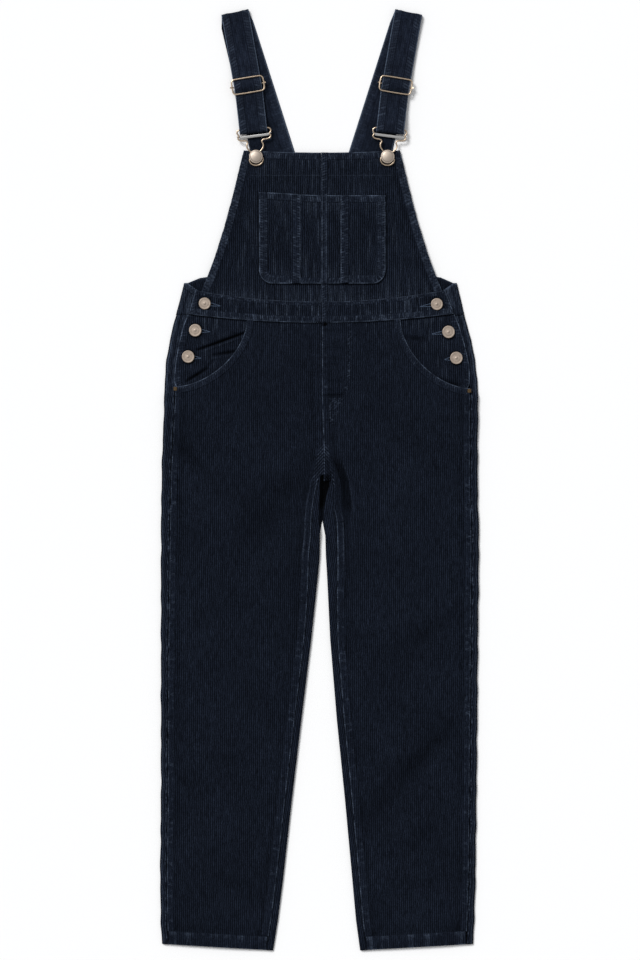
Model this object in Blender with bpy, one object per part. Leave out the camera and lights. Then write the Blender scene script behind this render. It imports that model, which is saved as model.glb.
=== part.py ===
"""Corduroy bib overalls laid flat on a table, front up, fastened and buttoned.

+X is the right-hand side as it lies, +Y runs from the hems to the shoulders, +Z is up.
The origin is in the middle of the garment's underside. Tables are in millimetres: x from
the middle line and height above the hems. "left" means -X.
"""
from collections import namedtuple
from math import atan2, cos, pi, radians, sin

import bmesh
import bpy
from mathutils import Vector

MM = 0.001
LENGTH = 1300.0                 # hem to shoulder fold
GAP = 0.3                       # between two pieces that touch or are sewn together
HALF_GAP = GAP / 2

CLOTH = 1.4                     # one layer of corduroy
BAND = 3.0                      # waistband: two layers and their seam allowances
STRAP = 1.5                     # strap: two pressed layers
STRAP_HALF_WIDTH = 19.2
SEAM_RIDGE = 0.7                # how far a felled seam stands up
SEAM_RIDGE_WIDTH = 10.0
RIDGE_STEP = 3.0                # the ridge falls away over this width

WIRE = 1.1                      # radius of the buckle and slider wire
ROLLED_BAR = 1.0                # radius of the slider's middle bar
PLATE_WIDTH = 3.7
PLATE = 0.9

CENTRE = 3.2                    # the centre front lies this far to the right
LIP_UNDER_PLACKET = 3.1         # level of the back's button stand, under the front's edge
BUTTON_STAND = 32.0             # how far it reaches in under the front
HIP_TOP = 4.7                   # level of the hip panel
HIP_CLOTH = 1.3
WAISTBAND_TOP = 6.6             # level of the front waistband's edges
WAISTBAND_DIP = 0.5             # its middle lies lower
BACK_SEAM = 876.0               # back waistband to back legs
BACK_WAIST_TOP = 931.0
BACK_WAIST_DROP = 9.0           # the back waistband is this much lower at its sides
BAND_CORNER = 920.2             # top of the back waistband where it comes round the side
BAND_CORNER_SLOPE = 0.62        # and how fast that edge then falls towards the front
YOKE_TOP = 985.3                # back bib to straps
CROTCH = 657.0                  # lowest point of the front rise
BACK_CROTCH = 593.0             # lowest point of the back rise
PLACKET_FOOT = 764.0            # the buttoned side openings start here
HEM_SLANT = 9.0                 # the hems rise this much towards the sides
HEM_SLANT_REACH = 200.0

Leg = namedtuple("Leg", "height outer_left inner_left inner_right outer_right")
LEGS = [
    Leg(0, -217.4, -64.0, 56.0, 211.6),
    Leg(41, -219.1, -57.5, 50.4, 213.6),
    Leg(97, -219.8, -50.4, 45.3, 215.0),
    Leg(207, -218.7, -38.2, 35.2, 216.2),
    Leg(317, -218.7, -25.1, 24.0, 217.4),
    Leg(428, -218.7, -11.5, 14.8, 218.3),
    Leg(483, -218.7, -5.7, 12.1, 219.0),
    Leg(520, -218.7, -1.8, 10.3, 219.4),
    Leg(545, -218.7, 0.4, 8.7, 219.8),
    Leg(572, -218.6, 0.6, 8.0, 219.6),
    Leg(593, -218.5, -1.0, 6.9, 219.2),
    Leg(609, -218.3, -1.3, 6.3, 218.8),
    Leg(626, -218.1, -0.5, 9.5, 218.3),
    Leg(640, -217.9, -0.4, 14.5, 218.0),
    Leg(657, -217.6, 0.6, 16.0, 217.9),
    Leg(704, -216.2, 0.6, 16.0, 218.2),
    Leg(759, -213.9, 0.6, 16.0, 218.6),
    Leg(787, -213.6, 0.6, 16.0, 217.9),
    Leg(814, -211.3, 0.6, 16.0, 213.9),
    Leg(842, -206.0, 0.6, 16.0, 209.3),
    Leg(869, -200.0, 0.6, 16.0, 201.2),
    Leg(897, -192.5, 0.6, 16.0, 195.0),
    Leg(921, -186.5, 0.6, 16.0, 189.2),
]

# How far the back wraps round to the front, at the sides and at the inseams.
Wrap = namedtuple("Wrap", "height side_left side_right inseam_left inseam_right")
WRAPS = [
    Wrap(0, 9.0, 9.3, 9.0, 9.0),
    Wrap(428, 10.5, 9.8, 9.5, 10.0),
    Wrap(483, 11.5, 10.0, 11.0, 12.0),
    Wrap(545, 12.2, 10.2, 15.0, 16.0),
    Wrap(593, 12.6, 10.3, 10.0, 16.5),
    Wrap(626, 13.0, 10.4, 6.4, 10.5),
    Wrap(640, 13.2, 10.5, 3.4, 5.0),
    Wrap(657, 13.3, 10.6, 1.0, 1.5),
    Wrap(780, 15.3, 10.9, 1.0, 1.5),
]

# Level of the fronts' surface over the table: at a front's edges, and how much higher (or,
# over the hips, lower) it lies away from them. It lies highest on the pockets and plackets.
Level = namedtuple("Level", "height edge crown")
LEVELS = [Level(0, 3.8, 0.8), Level(60, 4.2, 0.9), Level(300, 4.8, 0.9), Level(600, 5.2, 0.9),
          Level(700, 5.6, 0.2), Level(764, 6.8, -0.6), Level(880, 6.8, -0.9)]
CROWN_REACH = 34.0
LEG_HEM = 20.0                  # height of the turned hem
HEM_RISE = 0.4

# Folds in the fronts of the legs: a trough from start to end, or a ridge where depth is below 0.
Fold = namedtuple("Fold", "x0 h0 x1 h1 half_width depth")
LEFT_FOLDS = [
    Fold(-203, 708, -151, 653, 10, 1.6),
    Fold(-14, 664, -60, 618, 20, 1.4),
    Fold(-60, 618, -101, 563, 22, 1.6),
    Fold(-10, 840, -10, 751, 7, 0.8),
    Fold(-188, 243, -159, 206, 10, 1.2),
    Fold(-148, 265, -104, 261, 10, 1.0),
    Fold(-141, 95, -86, 73, 11, 1.2),
]
RIGHT_FOLDS = [
    Fold(24, 676, 41, 640, 9, 1.7),
    Fold(41, 640, 41, 600, 10, 1.9),
    Fold(41, 600, 46, 573, 9, 1.5),
    Fold(44, 701, 181, 624, 15, -0.9),
    Fold(188, 465, 99, 408, 13, 1.6),
    Fold(176, 308, 104, 228, 14, 2.2),
    Fold(104, 228, 61, 181, 12, 1.6),
    Fold(169, 188, 117, 132, 12, 1.6),
]
HIP_FOLDS = [
    Fold(-104, 850, -158, 831, 7, 1.2),
    Fold(118, 845, 140, 844, 8, 1.0),
]

# The centre front and centre back seam, which leans to the right at the crotch.
Rise = namedtuple("Rise", "height x")
RISE = [Rise(690, 5.9), Rise(760, 3.5)]

# Edges that hang in a shallow curve: the height in the middle, and the rise at a distance.
Sag = namedtuple("Sag", "middle rise reach")
WAIST_TOP = Sag(894.5, 16.5, 177.0)
WAIST_BOTTOM = Sag(866.0, 12.4, 184.0)
BIB_TOP = Sag(1100.0, 3.0, 107.6)

# The scooped pocket edges: quarter curves from the waistband to the side seam.
Scoop = namedtuple("Scoop", "inner_x outer_x top bottom")
SCOOPS = {"left": Scoop(-100.0, -198.4, 869.4, 777.6), "right": Scoop(111.9, 207.5, 869.4, 775.0)}
SCOOP_POWER = 1.75
POCKET_UNDERLAP = 12.0          # the hip panel reaches this far in under the pocket edge

# Outer edges of the hip panels, from the waistband down to the side seam.
Edge = namedtuple("Edge", "height left right")
PLACKETS = [Edge(766, -188.0, 196.0), Edge(778, -199.0, 206.8), Edge(784, -200.6, 207.7),
            Edge(805, -199.3, 206.8), Edge(832, -195.0, 201.3), Edge(861, -188.0, 192.9),
            Edge(880, -180.2, 185.0)]
WAIST_ENDS = [Edge(878, -180.2, 185.2), Edge(911, -171.1, 173.2)]

Half = namedtuple("Half", "height half_width")
BIB_SIDES = [Half(880, 170.0), Half(911, 165.5), Half(930, 157.3), Half(952, 149.0),
             Half(980, 139.7), Half(1007, 131.7), Half(1035, 124.3), Half(1063, 117.4),
             Half(1090, 111.0), Half(1103, 107.6)]
BIB_HEM = 12.0                  # the turned side edges
BIB_FACING_LINE = 1068.0        # from here up the bib is doubled
BIB_RISE = 0.5                  # how far hems, facing and seam stand up
BIB_STEP = 1.5                  # they fall away over this width
BIB_SEAM = 2.5                  # x of the centre seam of the bib
Layer = namedtuple("Layer", "height level")
BIB_LEVELS = [Layer(900, 5.2), Layer(930, 4.9), Layer(980, 4.0), Layer(1010, 3.7)]
YOKE_SIDES = [Half(931, 110.0), Half(985, 70.3)]

POCKET_LEFT, POCKET_RIGHT = -83.2, 91.1
POCKET_TOP_LEFT, POCKET_TOP_RIGHT, POCKET_BOTTOM = 1045.0, 1041.0, 919.0
POCKET_CORNER = 18.6
POCKET_HEM = 12.0
POCKET_HEM_RISE = 0.4
BAND_RISE = 0.9                 # the raised bands beside the pocket's middle panel

# Columns across each panel of the pocket: how far its underside and its top stand up there.
Across = namedtuple("Across", "x under top")
POCKET_PANELS = {
    "left": [Across(POCKET_LEFT, 0.0, 0.0), Across(-60.7, 0.0, 0.0), Across(-38.2, 0.0, 0.0),
             Across(-37.4, 0.0, BAND_RISE), Across(-25.9, 0.0, BAND_RISE)],
    "middle": [Across(-25.6, 0.0, 0.0), Across(2.3, 0.0, 0.0), Across(2.7, 0.5, 0.5),
               Across(12.2, 0.5, 0.5), Across(14.2, 0.0, 0.0), Across(28.7, 0.0, 0.0)],
    "right": [Across(29.0, 0.0, BAND_RISE), Across(40.5, 0.0, BAND_RISE), Across(41.3, 0.0, 0.0),
              Across(66.2, 0.0, 0.0), Across(POCKET_RIGHT, 0.0, 0.0)],
}

Button = namedtuple("Button", "name x height radius")
SIDE_BUTTONS = [
    Button("side_button_left_1", -158.0, 891.6, 8.2), Button("side_button_left_2", -171.1, 854.8, 8.6),
    Button("side_button_left_3", -180.9, 818.5, 8.6), Button("side_button_right_1", 161.6, 890.7, 8.2),
    Button("side_button_right_2", 177.7, 852.6, 8.6), Button("side_button_right_3", 188.5, 816.7, 8.6),
]
BIB_BUTTON_X, BIB_BUTTON_HEIGHT, BIB_BUTTON_RADIUS = 90.6, 1093.7, 9.5

# Height of the hardware's middle over the table.
BUCKLE_LEVEL = 6.3
SLIDER_LEVEL = 7.2
SLIDER_BAR_LEVEL = SLIDER_LEVEL - WIRE - GAP - ROLLED_BAR

# The buckle, from the bib button's middle: x to its right, up towards the strap.
BUCKLE_TILT = 5.0
WirePoint = namedtuple("WirePoint", "across up")
BUCKLE_WIRE = [
    WirePoint(19.5, 38.7), WirePoint(22.4, 37.2), WirePoint(23.2, 34.2), WirePoint(21.4, 30.4),
    WirePoint(22.6, 27.4), WirePoint(21.2, 24.9), WirePoint(17.5, 23.6), WirePoint(12.4, 23.0),
    WirePoint(10.0, 20.9), WirePoint(11.3, 16.6), WirePoint(10.8, 12.6), WirePoint(7.6, 8.4),
    WirePoint(5.0, 5.0), WirePoint(6.6, 1.4), WirePoint(9.0, -2.6), WirePoint(8.5, -6.9),
    WirePoint(5.0, -10.5), WirePoint(0.0, -11.6),
]
PLATE_UP = 29.0
PLATE_HALF_LENGTH = 19.6
TAB_UP = 30.3                   # the bar's narrow tabs, rolled round the wire's notches
TAB_WIRE_AT = 21.4
TAB_HALF_WIDTH = 1.0

SLIDER_UP = 98.6                # slider's middle from the bib button, along Y
SLIDER_OUT = 11.2               # and outwards
SLIDER_TILT = 9.3
SLIDER_HALF_LENGTH = 21.8
SLIDER_HALF_WIDTH = 10.2
SLIDER_CORNER = 4.5

# The strap's middle line from the buckle to the shoulder. out is measured from the centre front.
Station = namedtuple("Station", "out height tilt")
STRAP_LINE = [Station(93.6, 1125.0, 6.0), Station(94.6, 1133.0, 6.3), Station(99.7, 1178.3, 8.5),
              Station(101.8, 1191.5, 9.3), Station(103.9, 1203.0, 9.8), Station(119.8, 1294.0, 12.0)]
SHOULDER_HEIGHT = 1294.0        # middle of the strap's fold at the shoulder
BUCKLE_TURN = 1130.4            # and of its turn round the buckle
STRAP_UNDER_LEVEL = 3.0         # middle of the layer that comes back from the buckle
SHOULDER_LEVEL = 4.6            # middle of the front layer at the shoulder
# Edges of the strap's back layer, which widens from the shoulder down to the back bib.
BackEdge = namedtuple("BackEdge", "top_out top_height foot_out foot_height")
BACK_STRAP_EDGES = [BackEdge(139.5, 1289.8, 71.2, YOKE_TOP), BackEdge(100.1, 1298.6, 0.3, YOKE_TOP)]

Finish = namedtuple("Finish", "colour metallic roughness")
FINISHES = {
    "corduroy": Finish((0.0087, 0.0110, 0.0173, 1.0), 0.0, 0.95),
    "antique_brass": Finish((0.52, 0.41, 0.28, 1.0), 1.0, 0.35),
    "button_bronze": Finish((0.50, 0.42, 0.35, 1.0), 1.0, 0.4),
    "nickel": Finish((0.60, 0.59, 0.57, 1.0), 1.0, 0.35),
}


# ---------------------------------------------------------------- general helpers

def clear_scene():
    for thing in list(bpy.data.objects):
        bpy.data.objects.remove(thing, do_unlink=True)


def point(x, height, z):
    """A place on the garment, from millimetres."""
    return Vector((x * MM, (height - LENGTH / 2) * MM, z * MM))


def outward(side):
    return -1 if side == "left" else 1


def blend(a, b, t):
    return a + (b - a) * t


def look_up(table, height, column):
    """The value of a column at a height, on straight lines between the table's rows."""
    rows = sorted(table, key=lambda row: row.height)
    if height <= rows[0].height:
        return getattr(rows[0], column)
    for low, high in zip(rows, rows[1:]):
        if height <= high.height:
            t = (height - low.height) / (high.height - low.height)
            return blend(getattr(low, column), getattr(high, column), t)
    return getattr(rows[-1], column)


def spread(start, end, count):
    """Evenly spaced values from start to end."""
    return [blend(start, end, i / (count - 1)) for i in range(count)]


def smooth_step(t):
    t = min(1.0, max(0.0, t))
    return t * t * (3 - 2 * t)


def make_material(node, finish_name):
    finish = FINISHES[finish_name]
    material = bpy.data.materials.new(f"{finish_name}.{node}")
    material.use_nodes = True
    shader = material.node_tree.nodes["Principled BSDF"]
    shader.inputs["Base Color"].default_value = finish.colour
    shader.inputs["Metallic"].default_value = finish.metallic
    shader.inputs["Roughness"].default_value = finish.roughness
    return material


def add_object(name, data, finish_name):
    thing = bpy.data.objects.new(name, data)
    bpy.context.scene.collection.objects.link(thing)
    data.materials.append(make_material(name, finish_name))
    return thing


def wall(name, rows, columns, outer, inner, finish_name="corduroy", keep=None):
    """A closed sheet with a thickness.

    outer(j, i) and inner(j, i) give its two faces at row j and column i. keep(j, i) says
    whether the patch above row j and right of column i is there.
    """
    bm = bmesh.new()
    bmesh.ops.create_grid(bm, x_segments=columns - 1, y_segments=rows - 1, size=1.0)
    row_of = bm.verts.layers.int.new("row")
    column_of = bm.verts.layers.int.new("column")
    for vertex in bm.verts:
        vertex[row_of] = round((vertex.co.y + 1) / 2 * (rows - 1))
        vertex[column_of] = round((vertex.co.x + 1) / 2 * (columns - 1))
    if keep:
        spare = [face for face in bm.faces if not keep(min(v[row_of] for v in face.verts),
                                                       min(v[column_of] for v in face.verts))]
        bmesh.ops.delete(bm, geom=spare, context="FACES")
    for vertex in bm.verts:
        vertex.co = outer(vertex[row_of], vertex[column_of])
    extruded = bmesh.ops.extrude_face_region(bm, geom=bm.faces[:], use_keep_orig=True)
    for vertex in (item for item in extruded["geom"] if isinstance(item, bmesh.types.BMVert)):
        vertex.co = inner(vertex[row_of], vertex[column_of])
    bmesh.ops.recalc_face_normals(bm, faces=bm.faces[:])
    mesh = bpy.data.meshes.new(name)
    bm.to_mesh(mesh)
    bm.free()
    return add_object(name, mesh, finish_name)


def panel(name, heights, columns_at, surface, thickness, clamp=None, **options):
    """A flat-lying wall. columns_at(height) lists x across, surface(x, height) gives its top."""
    table = [columns_at(height) for height in heights]

    def place(j, i, drop):
        x, height = table[j][i], heights[j]
        if clamp:
            height = clamp(x, height)
        return point(x, height, surface(x, height) - drop)

    return wall(name, len(heights), len(table[0]), lambda j, i: place(j, i, 0.0),
                lambda j, i: place(j, i, thickness), **options)


def turned(name, profile, centre, finish_name, steps=16):
    """A solid turned round a vertical axis. profile lists (radius, level) from bottom to top."""
    bm = bmesh.new()
    line = [bm.verts.new((radius * MM, 0.0, level * MM)) for radius, level in profile]
    edges = [bm.edges.new(pair) for pair in zip(line, line[1:])]
    bmesh.ops.spin(bm, geom=line + edges, cent=(0, 0, 0), axis=(0, 0, 1), angle=2 * pi,
                   steps=steps, use_merge=True)
    bmesh.ops.remove_doubles(bm, verts=bm.verts[:], dist=0.00001)
    bmesh.ops.recalc_face_normals(bm, faces=bm.faces[:])
    mesh = bpy.data.meshes.new(name)
    bm.to_mesh(mesh)
    bm.free()
    mesh.shade_smooth()
    mesh.set_sharp_from_angle(angle=radians(35))
    thing = add_object(name, mesh, finish_name)
    thing.location = centre
    return thing


def bent_wire(name, points, radius, finish_name, closed=True, smooth=True):
    """A round wire through points, as a bevelled curve."""
    curve = bpy.data.curves.new(name, "CURVE")
    curve.dimensions = "3D"
    curve.bevel_depth = radius * MM
    curve.bevel_resolution = 1
    curve.use_fill_caps = not closed
    curve.resolution_u = 1
    curve.render_resolution_u = 1
    if smooth:
        spline = curve.splines.new("BEZIER")
        spline.bezier_points.add(len(points) - 1)
        for knot, place in zip(spline.bezier_points, points):
            knot.co = place
            knot.handle_left_type = knot.handle_right_type = "AUTO"
    else:
        spline = curve.splines.new("POLY")
        spline.points.add(len(points) - 1)
        for knot, place in zip(spline.points, points):
            knot.co = (*place, 1.0)
    spline.use_cyclic_u = closed
    return add_object(name, curve, finish_name)


# ---------------------------------------------------------------- the garment's lines

def outline(side, height):
    return look_up(LEGS, height, f"outer_{side}")


def side_seam(side, height):
    wrap = look_up(WRAPS, height, f"side_{side}")
    return outline(side, height) + (wrap if side == "left" else -wrap)


def inseam_edge(side, height):
    """x of the inner edge of a leg's front."""
    if height >= CROTCH:
        return rise(height)
    inner = look_up(LEGS, height, f"inner_{side}")
    wrap = look_up(WRAPS, height, f"inseam_{side}")
    return inner - wrap if side == "left" else inner + wrap


def rise(height):
    return look_up(RISE, height, "x")


def sag(edge, x, centre=0.0):
    return edge.middle + edge.rise * ((x - centre) / edge.reach) ** 2


def scoop_x(side, height):
    """x of the scooped pocket edge at a height."""
    scoop = SCOOPS[side]
    drop = (scoop.top - height) / (scoop.top - scoop.bottom)
    drop = min(1.0, max(0.0, drop))
    return blend(scoop.outer_x, scoop.inner_x, (1 - drop ** SCOOP_POWER) ** (1 / SCOOP_POWER))


def hem_slant(side, x, height):
    """How much a hem's slant lifts a point of a leg."""
    outer, inner = outline(side, height), look_up(LEGS, height, f"inner_{side}")
    return HEM_SLANT * (x - inner) / (outer - inner) * max(0.0, 1 - height / HEM_SLANT_REACH)


def fold_depth(folds, x, height):
    """Depth of the folds at a place. Where two troughs meet, the deeper one counts."""
    depths = [0.0]
    for fold in folds:
        dx, dh = fold.x1 - fold.x0, fold.h1 - fold.h0
        along = ((x - fold.x0) * dx + (height - fold.h0) * dh) / (dx * dx + dh * dh)
        near = min(1.0, max(0.0, along))
        away = ((x - fold.x0 - near * dx) ** 2 + (height - fold.h0 - near * dh) ** 2) ** 0.5
        depths.append(fold.depth * smooth_step(1 - away / (2 * fold.half_width)))
    return max(depths) + min(depths)


def front_edges(side, height):
    """x of the outer and inner edge of a leg's front."""
    if height < SCOOPS[side].bottom:
        return side_seam(side, height), inseam_edge(side, height)
    return scoop_x(side, height), inseam_edge(side, height)


# ---------------------------------------------------------------- legs

LEG_HEIGHTS = [0, 41, 97, 207, 317, 428, 483, 520, 545, 572, 593, 609, 626, 640, 650]
# Rows that only the fronts have: at the hem, where folds lie, and along the scooped edge.
FRONT_HEIGHTS = [LEG_HEM, LEG_HEM + 2, 69, 120, 144, 168, 188, 228, 250, 272, 294, 350, 388, 408,
                 447, 465, 502, 657, 676, 694, 716, 742, 764]
SCOOP_STEPS = [1.0, 0.95, 0.85, 0.68, 0.46, 0.22, 0.0]


def leg_surface(side, x, height):
    """Level of a front, with its seam ridges, its hem and its folds."""
    nearest = min(abs(x - edge) for edge in front_edges(side, height))
    level = look_up(LEVELS, height, "edge")
    level += look_up(LEVELS, height, "crown") * smooth_step(nearest / CROWN_REACH)
    level += SEAM_RIDGE * smooth_step((SEAM_RIDGE_WIDTH + RIDGE_STEP / 2 - nearest) / RIDGE_STEP)
    if height <= LEG_HEM:
        level += HEM_RISE
    return level - fold_depth(LEFT_FOLDS if side == "left" else RIGHT_FOLDS, x, height)


def front_leg(side):
    """A front: from the waistband and the scooped pocket edge down to the hem."""
    scoop = SCOOPS[side]
    inward = -outward(side)
    heights = sorted(LEG_HEIGHTS + FRONT_HEIGHTS)
    heights += [blend(scoop.top, scoop.bottom, step) for step in SCOOP_STEPS]

    def columns_at(height):
        outer, inner = front_edges(side, height)
        first, last = outer + inward * HALF_GAP, inner - inward * HALF_GAP
        ridge = inward * (SEAM_RIDGE_WIDTH - RIDGE_STEP / 2)
        step = inward * RIDGE_STEP
        middle = spread(first + ridge + step, last - ridge - step, 10)
        return [first, first + ridge] + middle + [last - ridge, last]

    def clamp(x, height):
        if height >= scoop.top - 1:
            return sag(WAIST_BOTTOM, x) - GAP
        return height + hem_slant(side, x, height)

    panel(f"front_leg_{side}", heights, columns_at,
          lambda x, height: leg_surface(side, x, height), CLOTH, clamp)


BACK_HEIGHTS = LEG_HEIGHTS + [704, 762, 771, 777, 788, 814, 842, BACK_SEAM - HALF_GAP]
CURL = 4.6                      # how far the edge's curl reaches inwards
CURL_STEPS = 4


def curl(edge_x, foot_x, top, inward, direction):
    """Outer and inner points of an edge that curls up from the table.

    From foot_x on the table round edge_x to the top. direction 1 goes up, -1 goes down.
    """
    points = []
    for step in range(CURL_STEPS + 1):
        angle = direction * blend(-pi / 2, pi / 2, step / CURL_STEPS)
        up = (1 + sin(angle)) / 2
        if (foot_x - edge_x) * inward > 0:
            reach = blend(foot_x, edge_x + inward * CURL, up)
            x = reach - inward * CURL * cos(angle)
            x_inner = reach - inward * (CURL - CLOTH) * cos(angle)
        else:
            x = blend(foot_x, edge_x, up ** 0.8)
            x_inner = x + inward * CLOTH * (1 - up * 0.3)
        z = top * up
        z_inner = top / 2 + (top / 2 - CLOTH) * sin(angle)
        points.append(((x, z), (x_inner, z_inner)))
    return points


def lip_level(height):
    """Top of the back's side edge: level with the front, low where the front laps over it."""
    lap = smooth_step((height - PLACKET_FOOT) / 7)
    return blend(look_up(LEVELS, height, "edge"), LIP_UNDER_PLACKET, lap)


def lip_width(side, height):
    """How far the back's side edge reaches in: to the seam, or as a button stand under the front."""
    wrap = look_up(WRAPS, height, f"side_{side}")
    return blend(wrap, BUTTON_STAND, smooth_step((height - PLACKET_FOOT - 13) / 11))


def back_section(side, height):
    """Points across a back leg: side lip, curl, underside, inner curl, inseam lip."""
    inward = -outward(side)
    edge = outline(side, height)
    top = lip_level(height)
    lip_end = edge + inward * (lip_width(side, height) - HALF_GAP)
    section = [((lip_end, top), (lip_end, top - CLOTH))]
    start = edge + inward * CURL
    section += curl(edge, start, top, inward, -1)
    seam = rise(height) - inward * HALF_GAP
    bulge = look_up(LEGS, height, f"inner_{side}")
    bulge = min(bulge, seam) if side == "left" else max(bulge, seam)
    on_seam = smooth_step((height - BACK_CROTCH + 22) / 20)
    foot = blend(bulge - inward * CURL, seam, on_seam)
    for x in (blend(start, foot, step) for step in (0.2, 0.5, 0.8)):
        section.append(((x, 0.0), (x, CLOTH)))
    inner_top = look_up(LEVELS, height, "edge")
    section += curl(bulge, foot, inner_top, -inward, 1)
    lip = inseam_edge(side, min(height, CROTCH - 1)) + inward * HALF_GAP
    section.append(((lip, inner_top), (lip, inner_top - CLOTH)))
    return section


def back_leg(side):
    """A back: flat on the table, its edges curled up to the seams on the front."""
    sections = [back_section(side, height) for height in BACK_HEIGHTS]
    columns = len(sections[0])
    last_floor = 1 + CURL_STEPS + 1 + 3

    def place(j, i, face):
        x, z = sections[j][i][face]
        height = BACK_HEIGHTS[j]
        return point(x, height + hem_slant(side, x, height), z)

    wall(f"back_leg_{side}", len(BACK_HEIGHTS), columns, lambda j, i: place(j, i, 0),
         lambda j, i: place(j, i, 1),
         keep=lambda j, i: i < last_floor or BACK_HEIGHTS[j + 1] < CROTCH)


# ---------------------------------------------------------------- hips and waist

def hip_panel(side):
    """The piece behind the scooped pocket, whose outer edge is the buttoned placket."""
    inward = -outward(side)
    scoop = SCOOPS[side]
    heights = [766, 778, 784, 794, 805, 818, 832, 846, 861, 879]

    def columns_at(height):
        outer = look_up(PLACKETS, height, side)
        inner = scoop_x(side, height) + inward * POCKET_UNDERLAP
        if height < scoop.bottom + 12:
            inner = blend(outer, scoop.inner_x, 0.45)
        return spread(outer, inner, 8)

    def surface(x, height):
        past_stand = smooth_step((abs(outline(side, height) - x) - BUTTON_STAND - 2) / 10)
        return HIP_TOP - fold_depth(HIP_FOLDS, x, height) * past_stand

    def clamp(x, height):
        return min(height, sag(WAIST_BOTTOM, x) - GAP)

    panel(f"hip_panel_{side}", heights, columns_at, surface, HIP_CLOTH, clamp)


def front_waistband(side):
    """Half of the front waistband, from its buttoned end to the centre seam."""
    rows, columns = [0.0, 0.2, 0.8, 1.0], 10
    low_end, high_end = (getattr(edge, side) for edge in WAIST_ENDS)
    seam = CENTRE + outward(side) * HALF_GAP

    def place(j, i, level):
        x = blend(blend(low_end, high_end, rows[j]), seam, i / (columns - 1))
        height = blend(sag(WAIST_BOTTOM, x), sag(WAIST_TOP, x) - GAP, rows[j])
        return point(x, height, level)

    def outer(j, i):
        inside = 0 < j < len(rows) - 1 and 0 < i < columns - 1
        return place(j, i, WAISTBAND_TOP - (WAISTBAND_DIP if inside else 0.0))

    wall(f"front_waistband_{side}", len(rows), columns, outer,
         lambda j, i: place(j, i, WAISTBAND_TOP - BAND))


def back_waistband():
    """Flat across the back, both ends curled round to lie under the front's buttoned edges."""
    rows = [0.0, 0.3, 0.6, 0.85, 1.0]
    floor = [-165, -150, -130, -110, -60, 3, 66, 116, 136, 152, 167]
    reaches = [BUTTON_STAND, BUTTON_STAND / 2]
    lip = LIP_UNDER_PLACKET

    def section(height):
        left, right = outline("left", height), outline("right", height)
        points = [((left + reach, lip), (left + reach, lip - CLOTH)) for reach in reaches]
        points += curl(left, left + CURL, lip, 1, -1)
        points += [((x, 0.0), (x, CLOTH)) for x in floor]
        points += curl(right, right - CURL, lip, -1, 1)
        points += [((right - reach, lip), (right - reach, lip - CLOTH)) for reach in reversed(reaches)]
        return points

    corner = [BAND_CORNER] * (CURL_STEPS + 1)
    lip_tops = [BAND_CORNER - BAND_CORNER_SLOPE * reach for reach in reaches]
    floor_tops = [BACK_WAIST_TOP - BACK_WAIST_DROP * smooth_step((abs(x - CENTRE) - 112) / 70)
                  for x in floor]
    tops = lip_tops + corner + floor_tops + corner + lip_tops[::-1]
    bottom = BACK_SEAM + HALF_GAP
    sections = [section(blend(bottom, BAND_CORNER, row)) for row in rows]

    def place(j, i, face):
        x, z = sections[j][i][face]
        return point(x, blend(bottom, tops[i], rows[j]), z)

    wall("back_waistband", len(rows), len(tops), lambda j, i: place(j, i, 0),
         lambda j, i: place(j, i, 1))


def back_bib():
    heights = [BACK_WAIST_TOP + GAP, 950, 968, YOKE_TOP - GAP]

    def columns_at(height):
        half = look_up(YOKE_SIDES, height, "half_width")
        return spread(CENTRE - half, CENTRE + half, 7)

    panel("back_bib", heights, columns_at, lambda x, height: CLOTH, CLOTH)


# ---------------------------------------------------------------- bib and its pocket

BIB_HEIGHTS = [890, 912, 932, 952, 980, 1007, 1035, BIB_FACING_LINE - 1, BIB_FACING_LINE + 1, 1090, 1106]
TINY = 0.01                     # tells which side of a line a point on it belongs to


def bib_level(height):
    """Level of the bib's surface: it rests on the back and rises to the waistband."""
    return look_up(BIB_LEVELS, height, "level")


def bib_columns(side, height):
    """x of the columns across half the bib: seam and its ridge, pocket lines, hem and edge."""
    out = outward(side)
    edge = CENTRE + out * look_up(BIB_SIDES, height, "half_width")
    hem = edge - out * BIB_HEM
    seam = BIB_SEAM + out * HALF_GAP
    ridge = [seam + SEAM_RIDGE_WIDTH, seam + SEAM_RIDGE_WIDTH + BIB_STEP] if side == "right" else []
    pocket = [POCKET_PANELS[side][k].x for k in ((4, 2, 0) if side == "left" else (0, 2, 4))]
    return [seam] + ridge + pocket + [hem - out * BIB_STEP, hem, edge]


def bib(side):
    """Half the bib, with its hem, top facing and centre seam standing proud."""
    def surface(x, height):
        from_side = look_up(BIB_SIDES, height, "half_width") - abs(x - CENTRE)
        on_ridge = BIB_SEAM < x < BIB_SEAM + HALF_GAP + SEAM_RIDGE_WIDTH + TINY
        doubled = from_side < BIB_HEM + TINY or height > BIB_FACING_LINE or on_ridge
        return bib_level(height) + (BIB_RISE if doubled else 0.0)

    def clamp(x, height):
        if height == BIB_HEIGHTS[0]:
            return sag(WAIST_TOP, x)
        return sag(BIB_TOP, x, CENTRE) if height == BIB_HEIGHTS[-1] else height

    panel(f"bib_{side}", BIB_HEIGHTS, lambda height: bib_columns(side, height), surface, CLOTH, clamp)


def pocket_top(x):
    return blend(POCKET_TOP_LEFT, POCKET_TOP_RIGHT, smooth_step((x - POCKET_LEFT) / 90))


def corner_inset(height):
    """How far the pocket's side is drawn in at a height by its rounded lower corner."""
    below = max(0.0, POCKET_BOTTOM + POCKET_CORNER - height)
    return POCKET_CORNER - max(0.0, POCKET_CORNER ** 2 - below ** 2) ** 0.5


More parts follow.
